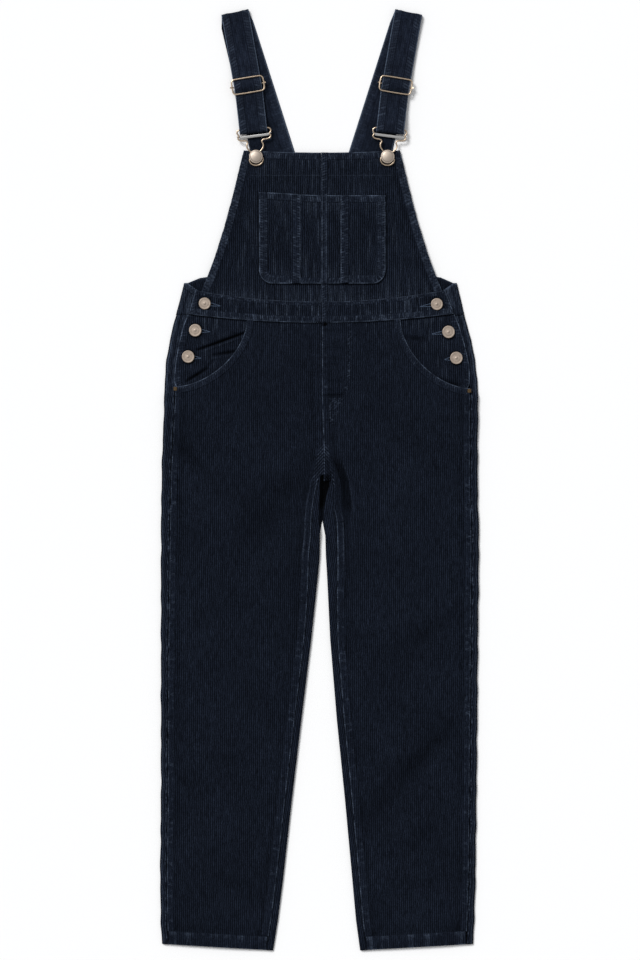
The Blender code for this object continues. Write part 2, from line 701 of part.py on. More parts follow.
def pocket_panel(side):
    """One panel of the bib pocket, lying on the bib's surface."""
    columns = POCKET_PANELS[side]
    arc = [POCKET_BOTTOM + POCKET_CORNER * (1 - sin(radians(angle))) for angle in (90, 72, 50, 25, 0)]
    hem_line = POCKET_TOP_RIGHT - POCKET_HEM
    heights = arc + [952, 980, 1007, hem_line - 0.5, hem_line + 0.5, POCKET_TOP_LEFT]

    def place(j, i, level):
        x, height = columns[i].x, heights[j]
        inset = corner_inset(height)
        x = min(max(x, POCKET_LEFT + inset), POCKET_RIGHT - inset)
        return point(x, pocket_top(x) if j == len(heights) - 1 else height, level)

    def under(j, i):
        return place(j, i, bib_level(heights[j]) + GAP + columns[i].under)

    def top(j, i):
        hem = POCKET_HEM_RISE if heights[j] > hem_line else 0.0
        return place(j, i, bib_level(heights[j]) + GAP + CLOTH + columns[i].top + hem)

    wall(f"bib_pocket_{side}", len(heights), len(columns), top, under)


# ---------------------------------------------------------------- straps and hardware

def on_side(side, out, height, z):
    """A place given by its distance outwards from the centre front."""
    return point(CENTRE + outward(side) * out, height, z)


def cross_station(side, out, height, tilt, z):
    """Outer and inner edge of the strap, across its middle line."""
    dx, dh = STRAP_HALF_WIDTH * cos(radians(tilt)), STRAP_HALF_WIDTH * sin(radians(tilt))
    return on_side(side, out + dx, height - dh, z), on_side(side, out - dx, height + dh, z)


def flat_station(side, height, z):
    out, tilt = look_up(STRAP_LINE, height, "out"), look_up(STRAP_LINE, height, "tilt")
    return cross_station(side, out, height, tilt, z)


def turn_stations(side, height, tilt, centre_z, reach, rise_z, start, end, steps):
    """Stations round a bar across the strap: an ellipse of half-axes reach and rise_z."""
    stations = []
    middle = look_up(STRAP_LINE, height, "out")
    for angle in spread(radians(start), radians(end), steps):
        along = reach * cos(angle)
        out, place = middle + along * sin(radians(tilt)), height + along * cos(radians(tilt))
        stations.append(cross_station(side, out, place, tilt, centre_z + rise_z * sin(angle)))
    return stations


def strap_stations(side):
    """The strap's edges in order: slider bar, down, round the buckle, up, shoulder, back."""
    bar_height = BIB_BUTTON_HEIGHT + SLIDER_UP
    wrap = ROLLED_BAR + GAP + STRAP / 2
    under = STRAP_UNDER_LEVEL
    upper = BUCKLE_LEVEL + WIRE + GAP + STRAP / 2
    through = SLIDER_LEVEL - WIRE - GAP - STRAP / 2
    over_bar = SLIDER_BAR_LEVEL + ROLLED_BAR + 2 * GAP + 1.5 * STRAP
    climbing = blend(through, over_bar, 0.6)
    resting = under + STRAP + GAP
    levels = [Layer(1140, upper), Layer(1150, blend(upper, resting, 0.6)), Layer(1162, resting)]
    levels += [Layer(bar_height + up, level) for up, level in (
        (-14.0, through - 0.2), (-8.4, through - 0.1), (-4.8, climbing), (-1.8, over_bar),
        (1.8, over_bar), (4.8, climbing), (8.4, through - 0.1), (14.0, through - 0.4))]
    levels += [Layer(1220, under + 0.6), Layer(1245, under + 0.2), Layer(1270, under + 0.8),
               Layer(1284, SHOULDER_LEVEL - 0.3)]

    stations = turn_stations(side, bar_height, SLIDER_TILT, SLIDER_BAR_LEVEL, wrap, wrap, 105, -90, 8)
    stations += [flat_station(side, height, under) for height in (1183, 1165, 1148)]
    stations += turn_stations(side, BUCKLE_TURN, STRAP_LINE[0].tilt, (upper + under) / 2, 3.6,
                              (upper - under) / 2, -90, -270, 8)
    stations += [flat_station(side, layer.height, layer.level) for layer in levels]
    half = (SHOULDER_LEVEL - STRAP / 2) / 2
    stations += turn_stations(side, SHOULDER_HEIGHT - half - STRAP / 2, STRAP_LINE[-1].tilt,
                              half + STRAP / 2, half, half, 90, -90, 7)
    for t in (0.06, 0.2, 0.4, 0.6, 0.8, 1.0):
        stations.append([on_side(side, blend(edge.top_out, edge.foot_out, t),
                                 blend(edge.top_height, edge.foot_height, t), STRAP / 2)
                         for edge in BACK_STRAP_EDGES])
    return stations


def strap(side):
    """One strap, from the slider down round the buckle and over the shoulder to the back."""
    stations = strap_stations(side)
    middles = [(outer + inner) / 2 for outer, inner in stations]
    normals = []
    for j, (outer, inner) in enumerate(stations):
        forward = middles[min(j + 1, len(stations) - 1)] - middles[max(j - 1, 0)]
        normals.append((inner - outer).cross(forward).normalized() * STRAP / 2 * MM)

    def place(j, i, face):
        outer, inner = stations[j]
        return outer.lerp(inner, i / 2) + normals[j] * face

    wall(f"strap_{side}", len(stations), 3, lambda j, i: place(j, i, 1), lambda j, i: place(j, i, -1))


def turned_place(side, across, up, z, tilt, out, height):
    """A place in a buckle's or slider's own plane. across is positive towards the centre front."""
    lean = radians(tilt)
    dx = across * cos(lean) - up * sin(lean)
    dh = across * sin(lean) + up * cos(lean)
    return on_side(side, out - dx, height + dh, z)


def buckle(side):
    """The wire that hooks round the bib button, and the flat bar across it."""
    where = (BUCKLE_TILT, BIB_BUTTON_X, BIB_BUTTON_HEIGHT)
    half = [(knot.across, knot.up) for knot in BUCKLE_WIRE]
    loop = half + [(-across, up) for across, up in reversed(half[:-1])]
    bent_wire(f"buckle_wire_{side}",
              [turned_place(side, across, up, BUCKLE_LEVEL, *where) for across, up in loop],
              WIRE, "antique_brass")
    rolled_bar(f"buckle_bar_{side}", side, where)


def rolled_bar(name, side, where):
    """A flat bar under the side wires, whose ends are rolled up round them."""
    roll = WIRE + 2 * GAP + PLATE / 2
    tab = [(-TAB_WIRE_AT - roll * cos(radians(angle)), BUCKLE_LEVEL + roll * sin(radians(angle)))
           for angle in spread(50, -90, 6)]
    body = [(-PLATE_HALF_LENGTH, BUCKLE_LEVEL - roll), (PLATE_HALF_LENGTH, BUCKLE_LEVEL - roll)]
    line = tab + body + [(-x, z) for x, z in reversed(tab)]
    normals = []
    for j in range(len(line)):
        x0, z0 = line[max(j - 1, 0)]
        x1, z1 = line[min(j + 1, len(line) - 1)]
        angle = atan2(z1 - z0, x1 - x0)
        normals.append((-sin(angle) * PLATE / 2, cos(angle) * PLATE / 2))

    def place(j, i, face):
        x, z = line[j][0] + face * normals[j][0], line[j][1] + face * normals[j][1]
        rolled = j < len(tab) or j >= len(line) - len(tab)
        middle, half = (TAB_UP, TAB_HALF_WIDTH) if rolled else (PLATE_UP, PLATE_WIDTH / 2)
        return turned_place(side, x, middle + half * (2 * i - 1), z, *where)

    wall(name, len(line), 2, lambda j, i: place(j, i, 1), lambda j, i: place(j, i, -1), "nickel")


def slider(side):
    """A wire ring over the strap, and the rolled bar under it that the strap's end wraps."""
    where = (SLIDER_TILT, BIB_BUTTON_X + SLIDER_OUT, BIB_BUTTON_HEIGHT + SLIDER_UP)
    flat_x, flat_y = SLIDER_HALF_LENGTH - SLIDER_CORNER, SLIDER_HALF_WIDTH - SLIDER_CORNER
    ring = []
    for quarter, (sx, sy) in enumerate(((1, 1), (-1, 1), (-1, -1), (1, -1))):
        for angle in spread(quarter * 90, quarter * 90 + 90, 4):
            ring.append((sx * flat_x + SLIDER_CORNER * cos(radians(angle)),
                         sy * flat_y + SLIDER_CORNER * sin(radians(angle))))
    bent_wire(f"slider_ring_{side}", [turned_place(side, x, y, SLIDER_LEVEL, *where) for x, y in ring],
              WIRE, "antique_brass", smooth=False)
    hook = WIRE + GAP + ROLLED_BAR
    end = [(-SLIDER_HALF_LENGTH - hook * sin(radians(angle)), SLIDER_LEVEL - hook * cos(radians(angle)))
           for angle in (120, 85, 55, 25, 0)]
    line = end + [(-x, z) for x, z in reversed(end)]
    bent_wire(f"slider_bar_{side}", [turned_place(side, x, 0.0, z, *where) for x, z in line],
              ROLLED_BAR, "antique_brass", closed=False, smooth=False)


# ---------------------------------------------------------------- buttons

def bib_button(side):
    """A button on a short shank, whose domed head holds the buckle's loop down."""
    shank, base = 3.2, bib_level(BIB_BUTTON_HEIGHT) + BIB_RISE + GAP
    head = BUCKLE_LEVEL + WIRE + GAP
    rim = BIB_BUTTON_RADIUS
    profile = [(0.0, base), (shank, base), (shank, head), (rim - 1.2, head), (rim, head + 0.7),
               (rim - 0.2, head + 1.5), (rim - 1.8, head + 2.2), (rim / 2, head + 3.0),
               (0.0, head + 3.3)]
    place = on_side(side, BIB_BUTTON_X, BIB_BUTTON_HEIGHT, 0.0)
    turned(f"bib_button_{side}", profile, place, "button_bronze")


def side_button(button):
    """A button with a raised rim and a centre dot, on the waistband or on the placket."""
    on_band = button.height > sag(WAIST_BOTTOM, button.x)
    shank, base = 4.2, (WAISTBAND_TOP - WAISTBAND_DIP if on_band else HIP_TOP) + GAP
    head, rim = base + 0.9, button.radius
    profile = [(0.0, base), (shank, base), (shank, head), (rim - 1.0, head), (rim, head + 0.7),
               (rim - 0.4, head + 1.5), (rim - 1.6, head + 1.8), (rim - 2.4, head + 1.4),
               (2.2, head + 1.6), (1.6, head + 2.1), (0.0, head + 2.2)]
    turned(button.name, profile, point(button.x, button.height, 0.0), "button_bronze")


def build():
    clear_scene()
    for side in ("left", "right"):
        back_leg(side)
        front_leg(side)
        hip_panel(side)
        front_waistband(side)
        bib(side)
        strap(side)
        buckle(side)
        slider(side)
        bib_button(side)
    back_waistband()
    back_bib()
    for side in POCKET_PANELS:
        pocket_panel(side)
    for button in SIDE_BUTTONS:
        side_button(button)


build()
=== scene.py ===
"""Corduroy bib overalls, laid flat and fastened: the finish of every piece.

Tables are in millimetres: x from the middle line, height above the hems, level above the
table that the garment lies on. "left" means -X. Seen from above, +X is right, +Y is up.
"""
from collections import namedtuple
from dataclasses import dataclass
from math import cos, pi, radians, sin

import bmesh
import bpy
import numpy as np
from bpy.props import FloatProperty, FloatVectorProperty, PointerProperty
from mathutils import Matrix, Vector


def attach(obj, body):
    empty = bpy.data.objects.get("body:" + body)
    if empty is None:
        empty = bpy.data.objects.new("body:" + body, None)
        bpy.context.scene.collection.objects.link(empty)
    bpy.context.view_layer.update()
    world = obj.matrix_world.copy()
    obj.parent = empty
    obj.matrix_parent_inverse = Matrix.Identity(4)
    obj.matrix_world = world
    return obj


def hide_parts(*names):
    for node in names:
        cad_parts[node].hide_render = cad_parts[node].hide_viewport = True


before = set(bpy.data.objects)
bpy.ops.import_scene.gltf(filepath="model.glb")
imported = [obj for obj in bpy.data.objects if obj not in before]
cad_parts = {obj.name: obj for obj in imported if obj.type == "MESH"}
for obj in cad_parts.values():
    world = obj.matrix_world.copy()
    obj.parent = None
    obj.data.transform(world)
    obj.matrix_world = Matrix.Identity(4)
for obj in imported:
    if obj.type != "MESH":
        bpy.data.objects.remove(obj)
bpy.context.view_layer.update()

bl_info = {
    "name": "Bib Overalls",
    "version": (1, 0, 0),
    "blender": (4, 5, 0),
    "location": "3D View > Sidebar > Overalls",
    "description": "Dresses a flat-lying pair of corduroy bib overalls, piece by piece",
    "category": "Add Mesh",
}

MM = 0.001
LENGTH = 1300.0                 # hem to shoulder fold
SIDES = ("left", "right")

# ---------------------------------------------------------------- sizes of the garment

CLOTH = 1.4                     # one layer of corduroy
HIP_CLOTH = 1.3
STRAP = 1.5                     # strap: two pressed layers
STRAP_HALF_WIDTH = 19.2
BAND_WIDTH = 10.5               # felled seams and turned edges
GAP = 0.3

CENTRE = 3.2                    # the centre front lies this far to the right
BUTTON_STAND = 32.0             # how far the back reaches in under the front's placket
LIP_UNDER_PLACKET = 3.1
HIP_TOP = 4.7
WAISTBAND_TOP = 6.6
BACK_SEAM = 876.0               # back waistband to back legs
BACK_WAIST_TOP = 931.0
BACK_WAIST_DROP = 9.0
BAND_CORNER = 920.2
BAND_CORNER_SLOPE = 0.62
YOKE_TOP = 985.3
CROTCH = 657.0
BACK_CROTCH = 593.0
PLACKET_FOOT = 764.0
HEM_SLANT = 9.0
HEM_SLANT_REACH = 200.0
LEG_HEM = 20.0


def rows(kind, values):
    """The rows of a table, each as a named tuple."""
    return [kind(*row) for row in values]


Leg = namedtuple("Leg", "height outer_left inner_left inner_right outer_right")
LEGS = rows(Leg, [
    (0, -217.4, -64.0, 56.0, 211.6), (41, -219.1, -57.5, 50.4, 213.6), (97, -219.8, -50.4, 45.3, 215.0),
    (207, -218.7, -38.2, 35.2, 216.2), (317, -218.7, -25.1, 24.0, 217.4),
    (428, -218.7, -11.5, 14.8, 218.3), (483, -218.7, -5.7, 12.1, 219.0), (520, -218.7, -1.8, 10.3, 219.4),
    (545, -218.7, 0.4, 8.7, 219.8), (572, -218.6, 0.6, 8.0, 219.6), (593, -218.5, -1.0, 6.9, 219.2),
    (609, -218.3, -1.3, 6.3, 218.8), (626, -218.1, -0.5, 9.5, 218.3), (640, -217.9, -0.4, 14.5, 218.0),
    (657, -217.6, 0.6, 16.0, 217.9), (704, -216.2, 0.6, 16.0, 218.2), (759, -213.9, 0.6, 16.0, 218.6),
    (787, -213.6, 0.6, 16.0, 217.9), (814, -211.3, 0.6, 16.0, 213.9), (842, -206.0, 0.6, 16.0, 209.3),
    (869, -200.0, 0.6, 16.0, 201.2), (897, -192.5, 0.6, 16.0, 195.0), (921, -186.5, 0.6, 16.0, 189.2)
])

# How far the back wraps round to the front, at the sides and at the inseams.
Wrap = namedtuple("Wrap", "height side_left side_right inseam_left inseam_right")
WRAPS = rows(Wrap, [
    (0, 9.0, 9.3, 9.0, 9.0), (428, 10.5, 9.8, 9.5, 10.0), (483, 11.5, 10.0, 11.0, 12.0),
    (545, 12.2, 10.2, 15.0, 16.0), (593, 12.6, 10.3, 10.0, 16.5), (626, 13.0, 10.4, 6.4, 10.5),
    (640, 13.2, 10.5, 3.4, 5.0), (657, 13.3, 10.6, 1.0, 1.5), (780, 15.3, 10.9, 1.0, 1.5)
])

# Level of the fronts at their edges, and how much higher or lower their middle lies.
Level = namedtuple("Level", "height edge crown")
LEVELS = rows(Level, [
    (0, 3.8, 0.8), (60, 4.2, 0.9), (300, 4.8, 0.9), (600, 5.2, 0.9), (700, 5.6, 0.2), (764, 6.8, -0.6),
    (880, 6.8, -0.9)
])
CROWN_REACH = 34.0

# Folds: a trough from start to end, or a ridge where depth is below 0.
Fold = namedtuple("Fold", "x0 h0 x1 h1 half_width depth")
FOLDS = {
    "left": rows(Fold, [
        (-203, 708, -151, 653, 10, 1.7), (-14, 664, -60, 618, 18, 1.5), (-60, 618, -101, 563, 22, 1.6),
        (-10, 840, -10, 751, 6, 0.9), (-188, 243, -159, 206, 9, 1.3), (-148, 265, -104, 261, 9, 1.1),
        (-141, 95, -86, 73, 10, 1.2), (-61, 425, -34, 428, 9, 0.8), (-30, 690, -60, 662, 9, -0.7),
        (-170, 640, -120, 600, 16, -0.6), (-3.5, 845, -3.5, 760, 3, -0.5)
    ]),
    "right": rows(Fold, [
        (22, 684, 34, 652, 5, 2.8), (32, 660, 38, 630, 6, 3.7), (37, 645, 40, 590, 7, 3.7),
        (39, 610, 42, 573, 7, 2.6), (34, 672, 46, 652, 3, -0.8), (46, 652, 48, 606, 3, -0.9),
        (44, 701, 181, 624, 14, -1.0), (188, 465, 99, 408, 12, 1.7), (176, 308, 104, 228, 13, 2.2),
        (104, 228, 61, 181, 12, 1.6), (169, 188, 117, 132, 11, 1.6), (60, 760, 120, 742, 10, -0.4),
        (8, 854, 36, 853, 2.6, 1.0), (8, 829, 34, 827, 2.2, 1.2), (6, 807, 24, 806, 2.4, 1.0),
        (6, 785, 30, 783, 2.4, 1.2), (6, 764, 32, 765, 2.0, 3.0), (8, 822, 30, 820, 3.5, -0.9),
        (8, 777, 32, 775, 3.5, -0.9), (8, 842, 34, 841, 4.0, -0.8)
    ]),
}
HIP_FOLDS = {
    "left": rows(Fold, [
        (-96, 854, -168, 828, 1.6, 3.6), (-106, 827.5, -145, 821, 1.8, 2.6),
        (-154, 803, -184, 784.5, 1.9, 3.0), (-146, 813, -156, 803, 2.0, 1.6),
        (-98, 849, -166, 824, 1.6, -1.1), (-120, 820, -148, 816, 1.8, -0.9),
        (-104, 858, -160, 838, 4, -0.7), (-120, 815, -150, 810, 4, -0.5)
    ]),
    "right": rows(Fold, [
        (119, 845, 142, 842, 3, 2.0), (150, 812, 128, 826, 6, 0.6), (168, 784, 197, 778, 4, 2.2)
    ]),
}

# The centre front and centre back seam leans to the right at the crotch.
Rise = namedtuple("Rise", "height x")
RISE = rows(Rise, [(690, 5.9), (760, 3.5)])

# Edges that hang in a shallow curve: the height in the middle, and the rise at a distance.
Sag = namedtuple("Sag", "middle rise reach")
WAIST_TOP = Sag(894.5, 16.5, 177.0)
WAIST_BOTTOM = Sag(866.0, 12.4, 184.0)
BIB_TOP = Sag(1100.0, 3.0, 107.6)
WAIST_SPAN = (880.0, 909.0)     # mean heights of the front waistband's edges

Scoop = namedtuple("Scoop", "inner_x outer_x top bottom")
SCOOPS = {"left": Scoop(-100.0, -198.4, 869.4, 777.6), "right": Scoop(111.9, 207.5, 869.4, 775.0)}
SCOOP_POWER = 1.75
POCKET_UNDERLAP = 12.0

Edge = namedtuple("Edge", "height left right")
PLACKETS = rows(Edge, [
    (766, -188.0, 196.0), (778, -199.0, 206.8), (784, -200.6, 207.7), (805, -199.3, 206.8),
    (832, -195.0, 201.3), (861, -188.0, 192.9), (880, -180.2, 185.0)
])
WAIST_ENDS = rows(Edge, [(878, -180.2, 185.2), (911, -171.1, 173.2)])

Half = namedtuple("Half", "height half_width")
BIB_SIDES = rows(Half, [
    (880, 170.0), (911, 165.5), (930, 157.3), (952, 149.0), (980, 139.7), (1007, 131.7), (1035, 124.3),
    (1063, 117.4), (1090, 111.0), (1103, 107.6)
])
YOKE_SIDES = rows(Half, [(931, 110.0), (985, 70.3)])
Layer = namedtuple("Layer", "height level")
BIB_LEVELS = rows(Layer, [(900, 5.2), (930, 4.9), (980, 4.0), (1010, 3.7)])
BIB_FACING_LINE = 1068.0
BIB_SEAM = 2.5

POCKET_LEFT, POCKET_RIGHT = -83.2, 91.1
POCKET_TOP_LEFT, POCKET_TOP_RIGHT, POCKET_BOTTOM = 1045.0, 1041.0, 919.0
POCKET_CORNER = 18.6
POCKET_HEM = 12.0
POCKET_BAND_LEFT, POCKET_BAND_RIGHT = (-38.2, -25.9), (29.0, 41.3)

POCKET_FOLDS = rows(Fold, [
    (-24, 1004, -3, 948, 9, 1.35), (-77, 1027, -62, 1008, 6, 1.3), (18, 1008, 28, 968, 7, 1.25),
    (-72, 1000, -50, 944, 9, 1.0), (58, 1020, 82, 984, 8, 1.1), (-22, 955, 12, 935, 5, -0.9)
])

Button = namedtuple("Button", "name x height radius hole_end_x hole_end_height")
SIDE_BUTTONS = rows(Button, [
    ("side_button_left_1", -158.0, 891.6, 8.2, -136.6, 888.2),
    ("side_button_left_2", -171.1, 854.8, 8.6, -151.1, 852.8),
    ("side_button_left_3", -180.9, 818.5, 8.6, -163.5, 816.3),
    ("side_button_right_1", 161.6, 890.7, 8.2, 138.7, 887.3),
    ("side_button_right_2", 177.7, 852.6, 8.6, 155.2, 849.6),
    ("side_button_right_3", 188.5, 816.7, 8.6, 172.5, 814.5)
])
BIB_BUTTON_X, BIB_BUTTON_HEIGHT, BIB_BUTTON_RADIUS = 90.6, 1093.7, 9.5

WIRE = 1.1
ROLLED_BAR = 1.0
PLATE_WIDTH = 3.7
PLATE = 0.9
BUCKLE_LEVEL = 6.3
SLIDER_LEVEL = 7.2
SLIDER_BAR_LEVEL = SLIDER_LEVEL - WIRE - GAP - ROLLED_BAR
BUCKLE_TILT = 5.0
# Half of the buckle's wire, from its top corner down to the loop round the button: across and up.
BUCKLE_WIRE = [
    (19.5, 38.7), (22.4, 37.2), (23.2, 34.2), (21.4, 30.4), (22.6, 27.4), (21.2, 24.9), (17.5, 23.6),
    (12.4, 23.0), (10.0, 20.9), (11.3, 16.6), (10.8, 12.6), (7.6, 8.4), (5.0, 5.0), (6.6, 1.4),
    (9.0, -2.6), (8.5, -6.9), (5.0, -10.5), (0.0, -11.6)
]
PLATE_UP = 29.0
PLATE_HALF_LENGTH = 19.6
PLATE_TILT = 2.5                # the bar lies this much more aslant than its wire
TAB_UP = 30.3
TAB_WIRE_AT = 21.4
TAB_HALF_WIDTH = 1.0
SLIDER_UP = 98.6
SLIDER_OUT = 11.2
SLIDER_TILT = 9.3
SLIDER_HALF_LENGTH = 21.8
SLIDER_HALF_WIDTH = 10.2
SLIDER_CORNER = 4.5

Station = namedtuple("Station", "height out tilt")
STRAP_LINE = rows(Station, [
    (1125.0, 93.6, 6.0), (1133.0, 94.6, 6.3), (1178.3, 99.7, 8.5), (1191.5, 101.8, 9.3),
    (1203.0, 103.9, 9.8), (1294.0, 119.8, 12.0)
])
SHOULDER_HEIGHT = 1294.0
BUCKLE_TURN = 1130.4
STRAP_UNDER_LEVEL = 3.0
SHOULDER_LEVEL = 4.6
BackEdge = namedtuple("BackEdge", "top_out top_height foot_out foot_height")
BACK_STRAP_EDGES = rows(BackEdge, [(139.5, 1289.8, 71.2, YOKE_TOP), (100.1, 1298.6, 0.3, YOKE_TOP)])
LEFT_STRAP_PEEKS = 3.2          # the left strap's back shows this far beside it at the shoulder


# ---------------------------------------------------------------- settings

def linear_colour(hex_value):
    """A colour written as sRGB hex, in the linear values that Blender's sockets hold."""
    channels = [int(hex_value[i:i + 2], 16) / 255 for i in (0, 2, 4)]
    return tuple(c / 12.92 if c <= 0.04045 else ((c + 0.055) / 1.055) ** 2.4 for c in channels)


def colour_property(name, description, hex_value):
    return FloatVectorProperty(name=name, description=description, subtype="COLOR", size=3,
                               min=0.0, max=1.0, default=linear_colour(hex_value))


def number_property(name, description, default, unit="NONE"):
    return FloatProperty(name=name, description=description, default=default, unit=unit)


def length_property(name, description, default):
    return number_property(name, description, default, "LENGTH")


class OverallsCloth(bpy.types.PropertyGroup):
    wale_pitch: length_property("Wale pitch", "From one cord of the corduroy to the next", 0.00284)
    wale_depth: length_property("Wale depth", "Depth of the grooves between the cords", 0.0005)
    stitch_pitch: length_property("Stitch pitch", "From one stitch to the next", 0.0036)
    thread_radius: length_property("Thread radius", "Radius of the topstitching thread", 0.0003)
    pile: colour_property("Pile", "Colour of the cords' cut pile", "0E121B")
    # The groove colour is the ground's own darker colour with painted shade in the recesses between the
    # cords.
    groove: colour_property("Groove", "Colour of the ground between the cords", "05070B")
    streak: colour_property("Streak", "Cords whose pile lies so that it catches the light", "202735")
    # The worn colour also serves for painted highlights on edges, ridges and puckers.
    worn_and_lit: colour_property("Worn", "Edges and ridges where the dye has worn off", "4C5768")
    thread: colour_property("Thread", "Topstitching thread", "1B212D")
    buttonhole: colour_property("Buttonhole", "Buttonhole thread", "55647A")
    bartack: colour_property("Bartack", "Thread of the tacks at the pocket corners", "5C4C36")


class OverallsMetal(bpy.types.PropertyGroup):
    wire: colour_property("Wire", "Antique brass of the buckles' and sliders' wire", "D0BBA3")
    plate: colour_property("Plate", "Nickel of the flat bar", "C9C8C6")
    button: colour_property("Button", "Bronze of the side buttons' heads", "B1A396")
    dome: colour_property("Dome", "Paler bronze of the bib buttons' heads", "BBAEA1")


class OverallsStage(bpy.types.PropertyGroup):
    floor: colour_property("Floor", "Colour of the surface under the garment", "F5F5F5")
    lens: number_property("Lens", "Focal length in millimetres", 85.0)
    view_length: length_property("View length", "Length of floor that the picture shows", 1.3248)
    light: number_property("Light", "Strength of the key light", 2.78)
    ambient: number_property("Ambient", "Strength of the light from all round", 0.46)


def settings():
    scene = bpy.context.scene
    return scene.overalls_cloth, scene.overalls_metal, scene.overalls_stage


# ---------------------------------------------------------------- numbers and lines

def column(table, height, name):
    """The value of a table's column at heights, on straight lines between its rows."""
    return np.interp(height, [row.height for row in table], [getattr(row, name) for row in table])


def clamp(t):
    """A share held between 0 and 1."""
    return np.clip(t, 0.0, 1.0)


def smooth_step(t):
    t = clamp(t)
    return t * t * (3 - 2 * t)


def hump(away, reach):
    """1 at a distance of 0, falling smoothly to 0 at a reach on both sides."""
    return smooth_step(1 - np.abs(away) / reach)


def tent(away, reach):
    """1 at a distance of 0, falling evenly to 0 at a reach on both sides."""
    return clamp(1 - np.abs(away) / reach)


def blend(a, b, t):
    return a + (b - a) * t


def outward(side):
    return -1 if side == "left" else 1


def sag(edge, x, centre=0.0):
    return edge.middle + edge.rise * ((x - centre) / edge.reach) ** 2


def ripple(along, seed, length):
    """An uneven wave along a line, within about -1 to 1, of a given typical length."""
    turn = 2 * pi * along / length
    wave = np.sin(turn + seed) + 0.6 * np.sin(turn * 0.57 + 2.3 * seed)
    return (wave + 0.4 * np.sin(turn * 1.71 + 4.1 * seed)) / 1.7


def disorder(number, seed):
    """A value from 0 to 1 for each whole number, without order from one to the next."""
    value = np.sin(number * 12.9898 + seed * 78.233) * 43758.5453
    return value - np.floor(value)


def undulation(x, height, seed):
    """Slow unevenness of cloth that lies on cloth, in millimetres."""
    wave = 0.20 * np.sin(x / 29 + height / 71 + seed) + 0.16 * np.sin(x / 19 - height / 47 + 2 * seed)
    wave += 0.12 * np.sin(height / 21 + x / 83 + 3 * seed) + 0.08 * np.sin(x / 11 + height / 33 + seed)
    return wave


def fold_depth(folds, x, height):
    """Depth of the folds at places. Where two troughs meet, the deeper one counts."""
    trough, ridge = np.zeros_like(x), np.zeros_like(x)
    for fold in folds:
        dx, dh = fold.x1 - fold.x0, fold.h1 - fold.h0
        along = ((x - fold.x0) * dx + (height - fold.h0) * dh) / (dx * dx + dh * dh)
        near = clamp(along)
        away = np.hypot(x - fold.x0 - near * dx, height - fold.h0 - near * dh)
        fade = 1 - 0.35 * np.abs(2 * near - 1)
        depth = fold.depth * fade * hump(away, 2 * fold.half_width)
        trough, ridge = np.maximum(trough, depth), np.minimum(ridge, depth)
    return trough + ridge


def points(*coordinates):
    """Places from arrays of their coordinates, which may be single numbers or columns."""
    return np.stack(np.broadcast_arrays(*coordinates), axis=-1)


def arc_of(line):
    """Distances along a line to each of its points."""
    return np.concatenate([[0.0], np.cumsum(np.linalg.norm(np.diff(line, axis=0), axis=1))])


def at_places(places, arc, line):
    """The points of a line at distances along it."""
    return points(*(np.interp(places, arc, line[:, k]) for k in range(line.shape[1])))


def area_between(widths, places):
    return np.sum((widths[1:] + widths[:-1]) / 2 * np.diff(places))


def resampled(line, step):
    """The points of a line, evenly spaced at about a step."""
    line = np.asarray(line, float)
    arc = arc_of(line)
    return at_places(np.linspace(0.0, arc[-1], max(2, int(round(arc[-1] / step)) + 1)), arc, line)


def eased(line, step=1.0, reach=9):
    """A line with its corners between table rows eased, its ends kept."""
    fine = resampled(line, step)
    reach = max(1, min(reach, len(fine) // 3))
    padded = np.concatenate([2 * fine[:1] - fine[reach:0:-1], fine, 2 * fine[-1:] - fine[-2:-reach - 2:-1]])
    window = np.hanning(2 * reach + 3)[1:-1]
    window = window / window.sum()
    return points(*(np.convolve(padded[:, k], window, mode="valid") for k in range(fine.shape[1])))


# ---------------------------------------------------------------- cloth meshes

def wale_pitch():
    return settings()[0].wale_pitch / MM


def cord_number(x):
    return np.floor(x / wale_pitch() + 0.001)


def valley_shape(x):
    """1 in the groove between two cords, 0 on their tops."""
    return np.interp((x / wale_pitch()) % 1.0, [0.0, 0.3, 0.7, 1.0], [1.0, 0.0, 0.0, 1.0])


def wale_columns(low, high):
    """x of the mesh columns between two edges: one in each groove, two on each cord."""
    pitch = wale_pitch()
    first, last = int(np.floor(low / pitch)) - 1, int(np.ceil(high / pitch)) + 1
    return ((np.arange(first, last)[:, None] + [0.0, 0.3, 0.7]) * pitch).ravel()


def pile(x, height):
    """How far the surface lies below the cords' tops: the grooves, and each cord's own height."""
    cord = cord_number(x)
    uneven = 0.07 * np.sin(cord * 12.9898 + height / 37) + 0.05 * np.sin(cord * 78.233 + height / 13)
    return settings()[0].wale_depth / MM * valley_shape(x) + uneven


def cord_light(cord, height, amount):
    """Painted sheen of single cords whose pile lies flat over 20 to 100 mm, carried as wear. The grooves have
    none.
    """
    number = cord_number(cord)
    phase = 2 * pi * disorder(number, 1.7)
    wave = np.sin(height / (9 + 16 * disorder(number, 2.9)) + phase)
    wave += 0.7 * np.sin(height / (5 + 5 * disorder(number, 4.3)) + 2 * phase)
    flat = np.clip(wave, 0.0, 1.7) / 1.7 * disorder(number, 5.1)
    return amount * flat * (1 - valley_shape(cord))


def placed(name, data):
    """A new object in the scene."""
    thing = bpy.data.objects.new(name, data)
    bpy.context.scene.collection.objects.link(thing)
    return thing


def mesh_from(bm, name):
    """A new mesh from a bmesh, which is freed."""
    mesh = bpy.data.meshes.new(name)
    bm.to_mesh(mesh)
    bm.free()
    return mesh


